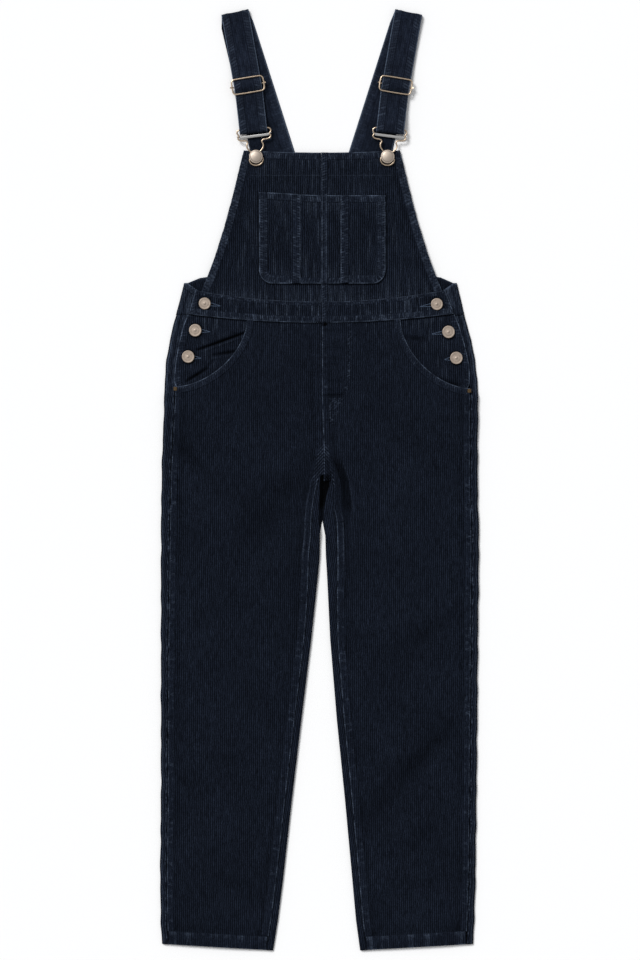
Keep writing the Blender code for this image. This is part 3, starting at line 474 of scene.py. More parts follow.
def grid_object(name, places, wear, grain, face_up=True, cords=1.0):
    """An object from a grid of places in millimetres, with its wear and painted light, and its grain map.

    cords says how clearly its cords show. A place whose level isn't a number is left out.
    """
    rows_up, columns = places.shape[:2]
    bm = bmesh.new()
    bmesh.ops.create_grid(bm, x_segments=columns - 1, y_segments=rows_up - 1, size=1.0)
    mesh = mesh_from(bm, name)
    square = np.empty(len(mesh.vertices) * 3)
    mesh.vertices.foreach_get("co", square)
    square = square.reshape(-1, 3)
    i = np.rint((square[:, 0] + 1) / 2 * (columns - 1)).astype(int)
    j = np.rint((square[:, 1] + 1) / 2 * (rows_up - 1)).astype(int)
    world = places[j, i] * MM
    world[:, 1] -= LENGTH / 2 * MM
    mesh.vertices.foreach_set("co", world.ravel())
    for layer, values in (("wear", wear), ("cords", np.broadcast_to(cords, wear.shape))):
        data = mesh.attributes.new(layer, "FLOAT", "POINT").data
        data.foreach_set("value", values[j, i].astype(np.float32))
    corner = np.empty(len(mesh.loops), dtype=np.int32)
    mesh.loops.foreach_get("vertex_index", corner)
    mesh.uv_layers.new(name="grain").data.foreach_set("uv", (grain[j, i] * MM)[corner].ravel())
    bm = bmesh.new()
    bm.from_mesh(mesh)
    cut_away = [vertex for vertex in bm.verts if vertex.co.z != vertex.co.z]
    bmesh.ops.delete(bm, geom=cut_away, context="VERTS")
    bmesh.ops.remove_doubles(bm, verts=bm.verts[:], dist=0.00001)
    bmesh.ops.dissolve_degenerate(bm, edges=bm.edges[:], dist=0.00001)
    bm.normal_update()
    facing = sum(face.normal.z * face.calc_area() for face in bm.faces)
    if (facing < 0) == face_up:
        bmesh.ops.reverse_faces(bm, faces=bm.faces[:])
    bm.to_mesh(mesh)
    bm.free()
    mesh.shade_smooth()
    return placed(name, mesh)


def join(name, things):
    """Joins objects into one."""
    with bpy.context.temp_override(active_object=things[0], object=things[0], selected_objects=things,
                                   selected_editable_objects=things):
        bpy.ops.object.join()
    things[0].name = name
    return things[0]


def thicken(thing, thickness):
    """Gives a sheet its underside."""
    solid = thing.modifiers.new("thickness", "SOLIDIFY")
    solid.thickness = thickness * MM
    solid.offset = -1.0
    solid.use_even_offset = False
    return thing


def clipped_sheet(name, heights, low, high, level, wear_and_shading_of, height_of=None, spread=None, light=0.05,
                  cords=1.0, columns=None):
    """A flat-lying panel whose cords run up it and are cut off at its edges.

    low(height) and high(height) are its edges, level(x, height) its surface. Its wear function of
    (x, height, cord) gives the wear and painted light: painted shade below 0, wear and painted
    highlights above 0. height_of(x, height) moves a row to its place on a slanted or curved edge,
    spread(x, height) leads the cords aside, light is how much paler single cords are by a painted
    sheen, and cords how clearly they all show.
    """
    if columns is None:
        columns = wale_columns(low(heights).min(), high(heights).max())
    cord, height = np.meshgrid(columns, heights)
    aside = 0.5 * np.sin(height / 33 + cord / 41) + 0.3 * np.sin(height / 14 + cord / 23)
    if spread:
        aside += spread(cord, height)
    x = np.clip(cord + aside, low(height), high(height))
    cord = x - aside
    height = height_of(x, height) if height_of else height
    z = level(x, height) - pile(cord, height)
    wear = cord_light(cord, height, light) + wear_and_shading_of(x, height, cord)
    return grid_object(name, points(x, height, z), wear, points(cord, height), cords=cords)


@dataclass
class Band:
    """A raised strip of doubled cloth along a seam or an edge, with its rows of stitches.

    line runs along the edge, and the band lies on its left where turn is 1, on its right
    where turn is -1. level(x, height) is the surface that it stands on.
    """
    line: object
    level: object
    turn: int
    width: float = BAND_WIDTH
    rise: float = 0.6               # how proud it stands
    pucker: float = 0.26            # how high its puckers are
    drop: float = 0.9               # how far its outer edge falls
    seed: float = 1.0
    rim: float = 0.4                # wear and painted highlight of its outer edge
    dots: float = 0.6               # wear and painted highlights on the stitches' puckers, painted shade between them
    rungs: float = 0.35             # wear and painted highlights on the puckers that cross it, painted shade between them
    tone: float = 0.0               # wear all over
    crest: float = 0.0              # wear of its inner edge
    skew: float = 0.0               # how far its puckers lean, for each mm across
    pitch: float = 4.3              # from one stitch's pucker to the next
    lumps: float = None             # from one rung to the next, where that isn't the pitch
    step: float = 1.35              # length of a face along it
    ease: bool = True               # whether its line's corners are eased
    strength: object = None         # strength(height) of its puckers
    wear_and_shading_of: object = None          # more wear and painted light, at x and height

    def __post_init__(self):
        self.line = eased(self.line) if self.ease else resampled(self.line, 1.0)
        self.lumps = self.lumps or self.pitch
        self.arc = arc_of(self.line)
        along = np.gradient(self.line, axis=0)
        along /= np.linalg.norm(along, axis=1)[:, None]
        self.across = points(-along[:, 1], along[:, 0]) * self.turn

    def flat(self, s, a):
        """x and height at distances along and across the band."""
        place, side = at_places(s, self.arc, self.line), at_places(s, self.arc, self.across)
        return place[..., 0] + a * side[..., 0], place[..., 1] + a * side[..., 1]

    def bumps(self, s, row=0):
        """The puckers across the band, and in rows 1, 2 and 4 those of single stitches: 0 between two."""
        length = self.pitch if row in (1, 2, 4) else self.lumps
        turn = s / length + 0.25 * np.sin(s / 19 + self.seed) + 0.35 * row
        number = np.floor(turn)
        size = 0.25 + 0.75 * disorder(number, self.seed + row) ** 1.5
        if self.strength:
            size = size * self.strength(np.interp(s, self.arc, self.line[:, 1]))
        return size * (0.75 + 0.25 * ripple(s, self.seed + row, 45.0)) * np.sin(pi * (turn - number)) ** 2

    def profile(self, a):
        """Its section: the rounded outer edge, a groove at each row of stitches, and the inner edge."""
        w, top = self.width, self.rise
        return np.interp(a, [0.0, 0.3, 0.8, 1.6, 2.5, w - 2.6, w - 1.9, w - 1.1, w],
                         [-self.drop, 0.6 * top, top, top - 0.2, top, top, top - 0.2, 0.8 * top, -0.6])

    def surface(self, s, a):
        """x, height and level at distances along and across the band."""
        x, height = self.flat(s, a)
        bell = np.sin(pi * clamp(a / self.width))
        pucker = 2 * self.pucker * (self.bumps(s + self.skew * a) - 0.2) * bell
        return x, height, self.level(x, height) + self.profile(a) + pucker

    def mesh(self, name):
        w = self.width
        inner = np.linspace(2.6, w - 2.6, int(w - 4) if self.step < 1.2 else 3)
        a = np.concatenate([[0.0, 0.3, 1.0, 1.6], inner, [w - 1.7, w - 0.9, w]])
        s = np.linspace(0.0, self.arc[-1], int(self.arc[-1] / self.step) + 2)
        s, a = np.meshgrid(s, a, indexing="ij")
        x, height, z = self.surface(s, a)
        inside = (a > 1.2) & (a < w - 1.2)
        z = z - np.where(inside, 0.5, 0.15) * pile(x, height)
        slanted = s + self.skew * a
        near = np.interp(a, [0.8, 1.6, 2.6, 3.4], [0, 1, 1, 0])
        far = np.interp(a, [w - 3.6, w - 2.6, w - 1.7, w - 0.8], [0, 1, 1, 0])
        middle = np.interp(a, [1.6, 3.2, w - 3.2, w - 1.6], [0, 1, 1, 0])
        whole = np.interp(a, [0.3, 1.5, w - 1.8, w - 0.8], [0, 1, 1, 0])
        # Wear and painted light: wear with a painted highlight along the outer edge, painted highlights on
        # the puckers and painted shade between them, and a painted shadow along the inner edge where the band
        # meets the panel.
        line = self.rim * (0.55 + 0.45 * ripple(s, self.seed + 2, 23.0)) * (0.8 + 0.45 * self.bumps(s, 4))
        first, second = self.bumps(slanted, 1) - 0.14, self.bumps(slanted, 2) - 0.14
        wear = (line * np.interp(a, [0.0, 0.3, 1.0, 1.6], [0.5, 1.0, 0.9, 0.0])
                + self.dots * (near * first + 0.7 * far * second)
                + self.rungs * middle * (self.bumps(slanted, 3) - 0.2)
                + self.crest * far * (0.6 + 0.4 * ripple(s, self.seed + 4, 19.0))
                + self.tone * whole * (0.7 + 0.5 * ripple(s, self.seed + 3, 31.0))
                + np.interp(a, [w - 1.8, w - 0.6, w], [0.0, -0.45, -0.6]))
        if self.wear_and_shading_of:
            wear += self.wear_and_shading_of(x, height)
        return grid_object(name, points(x, height, z), wear, points(x, height), cords=0.85)

    def stitches(self, a):
        """The line of a row of stitches at a distance across the band."""
        s = np.arange(0.0, self.arc[-1], 0.4)
        return points(*self.surface(s, np.full_like(s, a)))


def panel_object(name, body, bands, thickness=CLOTH):
    """A panel and its bands, joined and thickened."""
    strips = [band.mesh(f"{name}_band") for band in bands]
    return thicken(join(name, [body] + strips), thickness)


def dress(thing, nodes, material):
    """Ties a finished piece to the frame: what it rides on, stands for and is made of."""
    thing.data.materials.clear()
    thing.data.materials.append(material)
    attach(thing, "root")
    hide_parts(*nodes)
    return thing


def dress_cloth(thing, node):
    return dress(thing, [node], corduroy())


# ---------------------------------------------------------------- rows of stitches

ROWS_OF_STITCHES = []           # the line of every row, in millimetres
STITCH_INSETS = (1.7, -1.9)     # of a band's two rows
HOLE_THREAD, TACK_THREAD = 0.00026, 0.00034     # radii in metres


def sew(line):
    """Puts a row of topstitches along a line."""
    ROWS_OF_STITCHES.append(line)


def sew_band(band, insets=STITCH_INSETS):
    """Rows of stitches at distances from a band's outer edge, or below 0 from its inner edge."""
    for inset in insets:
        sew(band.stitches(inset if inset > 0 else band.width + inset))


def round_curve(name, radius, roundness):
    """A new curve whose lines are round wires or threads."""
    curve = bpy.data.curves.new(name, "CURVE")
    curve.dimensions = "3D"
    curve.bevel_depth = radius
    curve.bevel_resolution = roundness
    curve.use_fill_caps = True
    return curve


def metres(x, height, z):
    """A place in millimetres as the scene holds it, with its origin halfway up the garment."""
    return Vector((x * MM, (height - LENGTH / 2) * MM, z * MM))


def thread_curve(name, stitches, radius):
    """Stitches as short lengths of thread: each is 3 or 4 points in millimetres, thin at its ends."""
    curve = round_curve(name, radius, 0)
    for stitch in stitches:
        spline = curve.splines.new("POLY")
        spline.points.add(len(stitch) - 1)
        thin = [0.45] + [1.0] * (len(stitch) - 2) + [0.45]
        for knot, place, thickness in zip(spline.points, stitch, thin):
            knot.co = (*metres(*place), 1.0)
            knot.radius = thickness
    return as_mesh(placed(name, curve))


def as_mesh(thing):
    """Turns a curve object into a mesh object of the same name."""
    graph = bpy.context.evaluated_depsgraph_get()
    mesh = bpy.data.meshes.new_from_object(thing.evaluated_get(graph))
    name = thing.name
    bpy.data.objects.remove(thing, do_unlink=True)
    mesh.name = name
    mesh.shade_smooth()
    return placed(name, mesh)


def row_stitches(line):
    """Cuts a line into stitches: each rises out of the cloth, runs on top and sinks in again."""
    cloth = settings()[0]
    pitch, radius = cloth.stitch_pitch / MM, cloth.thread_radius / MM
    arc = arc_of(line)
    made = []
    for start in np.arange(0.5, arc[-1] - pitch, pitch):
        stitch = at_places(start + pitch * np.array([0.0, 0.4, 0.8]), arc, line)
        stitch[:, 2] += np.array([-0.25, 0.12, -0.25]) + 0.3 * radius
        made.append(stitch)
    return made


# ---------------------------------------------------------------- lines of the garment

TUCK = 1.2                      # how far a panel stays inside the band on its edge
LIP_STEP = 2.6                  # height from one row of the back's mesh to the next
LIP_GRAIN = 0.16                # how far the back's cords lean, for each mm up
LEG_DARK = 0.09                 # the legs' pile is this much darker than the bib's
CORD_SPREAD = 9.0               # how far the cords are led outwards at the crotch
CURL = 4.6                      # how far an edge that curls up from the table reaches inwards
FORK_TIP = 4.0                  # x of the point where the backs meet between the legs
ALLOWANCE = 10.0                # cloth turned in along the edges of a cut piece


def outline(side, height):
    return column(LEGS, height, f"outer_{side}")


def side_seam(side, height):
    return outline(side, height) - outward(side) * column(WRAPS, height, f"side_{side}")


def rise(height):
    return column(RISE, height, "x")


def inseam_edge(side, height):
    """x of the inner edge of a leg's front: the inseam, and above the crotch the centre seam."""
    leg = column(LEGS, height, f"inner_{side}") + outward(side) * column(WRAPS, height, f"inseam_{side}")
    return blend(leg, rise(height), clamp((height - CROTCH + 7) / 7))


def scoop_x(side, height):
    scoop = SCOOPS[side]
    drop = clamp((scoop.top - height) / (scoop.top - scoop.bottom))
    return blend(scoop.outer_x, scoop.inner_x, (1 - drop ** SCOOP_POWER) ** (1 / SCOOP_POWER))


def scoop_heights(side, count):
    """Heights whose points are evenly spread along the scooped edge, from its foot to its top."""
    scoop = SCOOPS[side]
    turn = np.linspace(0.0, pi / 2, count)
    return scoop.top - (scoop.top - scoop.bottom) * np.cos(turn) ** (2 / SCOOP_POWER)


def in_order(side, outer, inner):
    """A panel's outer and inner edge as its left and right one."""
    return (outer, inner) if side == "left" else (inner, outer)


def front_edges(side, height):
    """x of the outer and inner edge of a leg's front."""
    outer = np.where(height < SCOOPS[side].bottom, side_seam(side, height), scoop_x(side, height))
    return outer, inseam_edge(side, height)


def hem_slant(side, x, height):
    """How much a hem's slant lifts a point of a leg."""
    outer, inner = outline(side, height), column(LEGS, height, f"inner_{side}")
    return HEM_SLANT * (x - inner) / (outer - inner) * np.clip(1 - height / HEM_SLANT_REACH, 0.0, None)


def front_level(side):
    """The surface of a leg's front, without its seams."""
    def level(x, height):
        outer, inner = front_edges(side, height)
        nearest = np.minimum(np.abs(x - outer), np.abs(x - inner))
        surface = column(LEVELS, height, "edge")
        surface = surface + column(LEVELS, height, "crown") * smooth_step(nearest / CROWN_REACH)
        slow = undulation(x, height, 1.0 if side == "left" else 2.7) * (0.3 + 0.7 * smooth_step(nearest / 22))
        return surface + slow - fold_depth(FOLDS[side], x, height)
    return level


def shade_of(folds, x, height):
    """Painted light that goes with the folds: painted shade below 0 in a trough, a painted highlight above 0
    on a ridge.
    """
    depth = fold_depth(folds, x, height)
    return np.interp(depth, [-1.6, -1.0, 0.0, 1.0, 2.4, 3.6], [0.16, 0.05, 0.0, -0.12, -0.55, -0.72])


def under_edge(distance, reach=2.6):
    """Painted shadow, below 0, where cloth lies in the shade of the edge above it."""
    return np.where(distance < -0.8, 0.0, -0.85 * clamp(1 - distance / reach))


def gathers(cord, distance, seed, amount, longest):
    """Painted highlights of the single cords that stand up next to a seam across them."""
    number = cord_number(cord)
    reach = 4.0 + longest * disorder(number, seed) ** 2
    return amount * disorder(number, seed + 1) ** 1.5 * tent(distance, reach) * (1 - valley_shape(cord))


def round_buttons(x, height):
    """Painted shadow, below 0, in the thin shade round each side button."""
    away = np.full_like(x, 99.0)
    for button in SIDE_BUTTONS:
        away = np.minimum(away, np.hypot(x - button.x - 0.3, height - button.height + 0.3) - button.radius)
    return under_edge(away, 3.2)


def cord_spread(side):
    """The cords near the crotch are led outwards, down along the thigh."""
    def spread(x, height):
        away = (x - inseam_edge(side, height)) * outward(side)
        down = smooth_step((700 - height) / 44) * smooth_step((height - 430) / 170)
        return outward(side) * CORD_SPREAD * down * clamp(1 - away / 36) ** 1.5
    return spread


def crotch_shade(x, height):
    """Painted light of the deep fold on the right thigh: a painted highlight on its sharp lip, and painted
    shade that falls off inwards.
    """
    inside = np.interp(height, *zip(*FOLD_LIP)) - x
    window = smooth_step((height - 598) / 14) * smooth_step((682 - height) / 12)
    shade = np.interp(inside, [0.0, 1.6, 9.0, 15.0, 26.0, 32.0], [0.0, -0.58, -0.52, -0.2, -0.22, 0.0])
    return window * (0.26 * tent(inside, 1.4) + shade)


def drawn_cords(x, height):
    """Wear of the fine slanted lines that meet at the seam just above the crotch."""
    away = np.abs(x - rise(height))
    reach = 4.5 + 0.24 * np.clip(702 - height, 0.0, 46.0)
    window = smooth_step((reach - away) / 3 + 0.5) * smooth_step((702 - height) / 12) * (height > 640)
    return window * (0.38 * np.sin(2 * pi * (height + 1.1 * away) / 4.8) + 0.04)


def fold_shade(side):
    """Painted shade and highlights of a front that go with its folds."""
    folds = FOLDS[side][4:] if side == "right" else FOLDS[side]

    def wear_and_shading_of(x, height):
        wear = shade_of(folds, x, height) - LEG_DARK
        return wear + crotch_shade(x, height) if side == "right" else wear
    return wear_and_shading_of


def inseam_shade(side):
    """Painted light of the inseam's band: near the crotch both of its edges are drawn into smooth ridges with
    painted highlights, and painted shade lies between them.
    """
    folds = fold_shade(side)

    def wear_and_shading_of(x, height):
        away = np.abs(x - inseam_edge(side, height))
        drawn = 0.36 * tent(away - 0.9, 1.2) + 0.26 * tent(away - 8.9, 1.7) - 0.1 * hump(away - 4.8, 3.5)
        near = smooth_step((height - 505) / 60) * smooth_step((664 - height) / 16)
        return folds(x, height) + near * drawn + drawn_cords(x, height)
    return wear_and_shading_of


def hem_shade(side):
    """Wear and painted shade of a leg's hem: its folds' painted shade, its single cords, and the thick ends
    where the leg's seams cross it.
    """
    folds = fold_shade(side)

    def wear_and_shading_of(x, height):
        nearest = np.minimum(np.abs(x - side_seam(side, 6.0)), np.abs(x - inseam_edge(side, 6.0)))
        cords = 0.28 * (disorder(np.round(x / 1.9), 5.0) ** 1.5 - 0.32)
        return folds(x, height) + cords + 0.16 * smooth_step((14 - nearest) / 4)
    return wear_and_shading_of


def seam_shade(x, height):
    """Painted shade of the centre seam's band: a painted shadow in the notch under the waistband, and painted
    shade on its lower end.
    """
    notch = -1.0 * smooth_step(1.8 - 1.8 * np.hypot((x - 7.0) / 5.5, (height - 863.0) / 3.6))
    end = -0.75 * smooth_step((CROTCH + 2 - height) / 7)
    return fold_shade("right")(x, height) + drawn_cords(x, height) + notch + end


def speckles(x, height, amount):
    """Wear of dense stitching: small light and dark specks of the stitches and the pile between."""
    return amount * (disorder(np.floor(x / 1.5) * 31 + np.floor(height / 1.4), 3.0) - 0.45)


def patch_level(level, inside):
    """The surface of a patch in finer steps: just above the panel, and under it at its rims."""
    return level + 0.3 * smooth_step(inside / 3) - 0.12


def fly_patch():
    """The stitched-down facing of the fly, in finer steps: the curved rows, and the bar under them."""
    level, shade = front_level("right"), fold_shade("right")

    def low(height):
        return rise(height) + 9.0

    def high(height):
        return np.interp(height, *zip(*FLY_EDGE))

    def surface(x, height):
        inside = np.minimum(high(height) - x, np.minimum(height - FLY_FOOT, FLY_TOP - height))
        return patch_level(level(x, height), inside)

    def wear_and_shading_of(x, height, cord):
        curve = np.abs(x - np.interp(height, *zip(*FLY_CURVE)))
        above = height > 800
        curved = smooth_step(1.2 - curve / np.where(above, 6.0, 3.4)) * np.where(above, 0.6, 1.0)
        curved = curved * (height > 765)
        bar = smooth_step((765 - height) / 3) * smooth_step((height - 722) / 8)
        return shade(x, height) + speckles(x, height, 0.85) * (curved + 0.8 * bar) + drawn_cords(x, height)

    heights = np.concatenate([np.arange(FLY_FOOT, 704.0, 1.1), np.arange(704.0, FLY_TOP, 1.5)])
    return clipped_sheet("fly_patch", heights, low, high, surface, wear_and_shading_of)


def fork_patch():
    """The left front beside the centre seam just above the crotch, in finer steps."""
    level, shade = front_level("left"), fold_shade("left")

    def low(height):
        return rise(height) - np.interp(height, [654, 704], [20.0, 6.0])

    def high(height):
        return rise(height) - 0.2

    def surface(x, height):
        inside = np.minimum(x - low(height), np.minimum(height - 650, FORK_TOP - height))
        return patch_level(level(x, height), inside)

    def wear_and_shading_of(x, height, cord):
        return shade(x, height) + drawn_cords(x, height)

    return clipped_sheet("fork_patch", np.arange(FLY_FOOT, FORK_TOP, 1.1), low, high, surface, wear_and_shading_of,
                         columns=wale_columns(-20.0, 8.0))


def front_shade(side):
    """Painted light of a front: its folds' painted shade, painted shade in the hollow beside its seams,
    painted highlights on the cords gathered under the waistband, and painted shadow under the
    waistband and above the hem."""
    folds = fold_shade(side)

    def wear_and_shading_of(x, height, cord):
        outer, inner = front_edges(side, height)
        nearest = np.minimum(np.abs(x - outer), np.abs(x - inner))
        hollow = -0.14 * hump(nearest - 13, 7) * (height < 800)
        below = sag(WAIST_BOTTOM, x) - 1.0 - height
        above_hem = height - LEG_HEM - hem_slant(side, x, 0 * x)
        corner = smooth_step(1 - (nearest - 9) / 16)
        hollow -= (0.14 + 0.2 * corner) * smooth_step(1 - above_hem / 15)
        return folds(x, height) + hollow + under_edge(below) + gathers(cord, below, 3.0, 0.26, 26.0)
    return wear_and_shading_of


def hip_level(side):
    def level(x, height):
        on_stand = smooth_step((np.abs(outline(side, height) - x) - BUTTON_STAND + 6) / 10)
        folds = fold_depth(HIP_FOLDS[side], x, height) * (0.35 + 0.65 * on_stand)
        return HIP_TOP + 0.35 * undulation(x, height, 4.0) - folds
    return level


def waistband_level(x, height):
    return WAISTBAND_TOP + 0.1 + 0.4 * undulation(x, height, 5.5)


def bib_level(x, height):
    return column(BIB_LEVELS, height, "level") + 0.45 * undulation(x, height, 0.6)


def bib_side(side, height):
    return CENTRE + outward(side) * column(BIB_SIDES, height, "half_width")


def pocket_level(x, height):
    return bib_level(x, height) + GAP + CLOTH


def pocket_top(x):
    return blend(POCKET_TOP_LEFT, POCKET_TOP_RIGHT, smooth_step((x - POCKET_LEFT) / 90))


def corner_inset(height):
    """How far the pocket's side is drawn in at a height by its rounded lower corner."""
    below = np.clip(POCKET_BOTTOM + POCKET_CORNER - height, 0.0, POCKET_CORNER)
    return POCKET_CORNER - np.sqrt(POCKET_CORNER ** 2 - below ** 2)


def lip_level(height):
    """Top of the back's side edge: level with the front, low where the front laps over it."""
    return blend(column(LEVELS, height, "edge"), LIP_UNDER_PLACKET, smooth_step((height - PLACKET_FOOT) / 7))


def lip_width(side, height):
    wrap = column(WRAPS, height, f"side_{side}")
    return blend(wrap, BUTTON_STAND, smooth_step((height - PLACKET_FOOT - 13) / 11))


def curl(edge_x, foot_x, top, inward, share):
    """x and level of an edge that curls up from the table, at a share of the way round it."""
    angle = blend(-pi / 2, pi / 2, share)
    up = (1 + np.sin(angle)) / 2
    depth = inward * np.clip((foot_x - edge_x) * inward, 0.0, CURL)
    return blend(foot_x, edge_x + depth, up) - depth * np.cos(angle), top * up


def span(low, high, heights):
    """Greatest width, height and area between two edges, in millimetres."""
    widths = np.abs(high(heights) - low(heights))
    return widths.max(), heights[-1] - heights[0], area_between(widths, heights)


def lay_panel(low, high, heights, allowance=ALLOWANCE):
    """Reckons the size of a panel's cut, what shows and the allowance that is turned in all round, and keeps
    nothing of it.
    """
    width, length, area = span(low, high, heights)
    area += 2 * allowance * (width + length)


# ---------------------------------------------------------------- legs

def up_leg(side, x_of, low, high):
    """A line up a leg at x_of(side, height), lifted by the hem's slant."""
    height = np.linspace(low, high, int((high - low) / 2) + 2)
    x = x_of(side, height)
    return points(x, height + hem_slant(side, x, height))


FLY_FOOT, FLY_TOP = 656.0, 866.0
FORK_TOP = 706.0                # upper end of the left front's finer steps above the crotch

# The sharp lip of the deep fold on the right thigh, the fly's curved edge and the middle of its
# rows of stitches: height and x.
FOLD_LIP = [(590, 48.0), (603, 47.0), (623, 44.0), (649, 41.0), (674, 31.0), (686, 25.0)]
FLY_EDGE = [(656, 22.0), (722, 18.0), (764, 36.0), (770, 41.0), (780, 44.5), (799, 47.0), (866, 48.5)]
FLY_CURVE = [(764, 30.0), (770, 35.5), (780, 38.5), (799, 40.5), (846, 41.5)]

# The inseam's band runs on past the crotch: distance out from the centre seam, and height above it.
FORK = {"left": [(6.2, -3.0), (4.6, 5.0), (2.4, 13.0)], "right": [(11.4, -3.0), (8.6, 6.0), (3.8, 15.0)]}


def front_leg(side):
    """A front: from the waistband and the scooped pocket edge down to the hem."""
    scoop, out, level = SCOOPS[side], outward(side), front_level(side)

    def outer(height):
        return front_edges(side, height + TUCK)[0] - out * TUCK

    def inner(height):
        under = (height > CROTCH - 3) & (side == "left")
        return inseam_edge(side, height) + out * np.where(under, GAP / 2, TUCK)

    def height_of(x, height):
        top = sag(WAIST_BOTTOM, x) - GAP
        return np.where(height > scoop.top - 0.01, top, np.minimum(height + hem_slant(side, x, height), top))

    low, high = in_order(side, outer, inner)
    heights = [np.arange(TUCK, 560, 12.0), np.arange(562, 740, 6.0), np.arange(742, scoop.bottom, 4.0),
               scoop_heights(side, 32) - TUCK, np.arange(861.0, 869.0, 1.0), [650.0, CROTCH, scoop.top]]
    heights = np.unique(np.concatenate(heights))
    columns = wale_columns(low(heights).min() - CORD_SPREAD, high(heights).max() + CORD_SPREAD)
    body = clipped_sheet(f"front_leg_{side}_cloth", heights, low, high, level, front_shade(side), height_of,
                         cord_spread(side), columns=columns)
    shade = fold_shade(side)

    hem_x = np.linspace(side_seam(side, 0.0), inseam_edge(side, 0.0), 60)
    hem = Band(points(hem_x, hem_slant(side, hem_x, 0 * hem_x)), level, -out, width=LEG_HEM, rise=0.45,
               pucker=0.22, seed=3.0 + out, rim=0.5, dots=0.3, rungs=0.3, tone=-0.1, crest=0.2, pitch=3.1,
               wear_and_shading_of=hem_shade(side))
    seam = Band(up_leg(side, side_seam, LEG_HEM - 1, scoop.bottom), level, out, width=9.5, rise=0.35,
                pucker=0.2, seed=5.0 + out, rim=0.7, dots=0.4, rungs=0.4, tone=0.01, crest=0.14, pitch=3.4,
                lumps=9.0, step=1.5, wear_and_shading_of=shade)
    inseam = Band(up_leg(side, inseam_edge, LEG_HEM - 1, 590.0), level, -out, width=11.5, rise=0.5,
                  pucker=0.2, seed=7.0 + out, rim=0.85, dots=0.35, rungs=0.3, tone=0.02, crest=0.1,
                  pitch=3.4, lumps=9.0, step=1.5, wear_and_shading_of=inseam_shade(side),
                  strength=lambda height: 1 - 0.85 * smooth_step((height - 545) / 45))
    fork = [(rise(CROTCH) + out * reach, CROTCH + up) for reach, up in FORK[side]]
    upper = Band(np.concatenate([up_leg(side, inseam_edge, 590.0, CROTCH - 10), fork]), level, -out,
                 width=11.5, rise=0.5, pucker=0.05, seed=7.0 + out, rim=0.15, dots=0.1, rungs=0.0, tone=0.02,
                 step=1.1, wear_and_shading_of=inseam_shade(side))
    around = scoop_heights(side, 60)[::-1]
    edge = Band(points(scoop_x(side, around), around), level, -out, pucker=0.2, seed=9.0 + out, rim=0.75,
                dots=0.5, rungs=0.25, tone=-0.02, pitch=3.0, ease=False)
    bands = [hem, seam, inseam, upper, edge]
    sew_band(hem, (-1.9,))
    for band in (seam, inseam, edge):
        sew_band(band)
    if side == "right":
        up = np.linspace(CROTCH - 10, sag(WAIST_BOTTOM, 4.0), 90)
        bands.append(Band(points(rise(up), up), level, -1, width=10.0, rise=0.7, pucker=0.3, seed=12.0,
                          rim=0.9, dots=0.35, rungs=0.4, tone=-0.02, pitch=3.6, lumps=9.0, step=1.0,
                          wear_and_shading_of=seam_shade))
        sew_band(bands[-1])
    body = join(body.name, [body, fly_patch() if side == "right" else fork_patch()])
    thing = dress_cloth(panel_object(body.name, body, bands), f"front_leg_{side}")
    lay_panel(outer, inner, heights)


def stand_light(from_edge, height):
    """Painted highlights of the back's edge beside the placket: pale streaks up it, broken into short
    lengths.
    """
    streaks = np.sin(from_edge / 0.75 + 0.8 * np.sin(height / 19)) + np.sin(from_edge / 2.1 + 1.0)
    return 0.09 + 0.10 * streaks + 0.10 * ripple(height + 7 * np.floor(from_edge / 3.1), 4.0, 15.0)


LIP_COLUMNS, FLOOR_COLUMNS = 22, 6      # of the back's mesh, from a side seam inwards
CURL_SHARES = np.linspace(0.86, 0.0, 8)     # places round a curled edge, from its lip to its foot


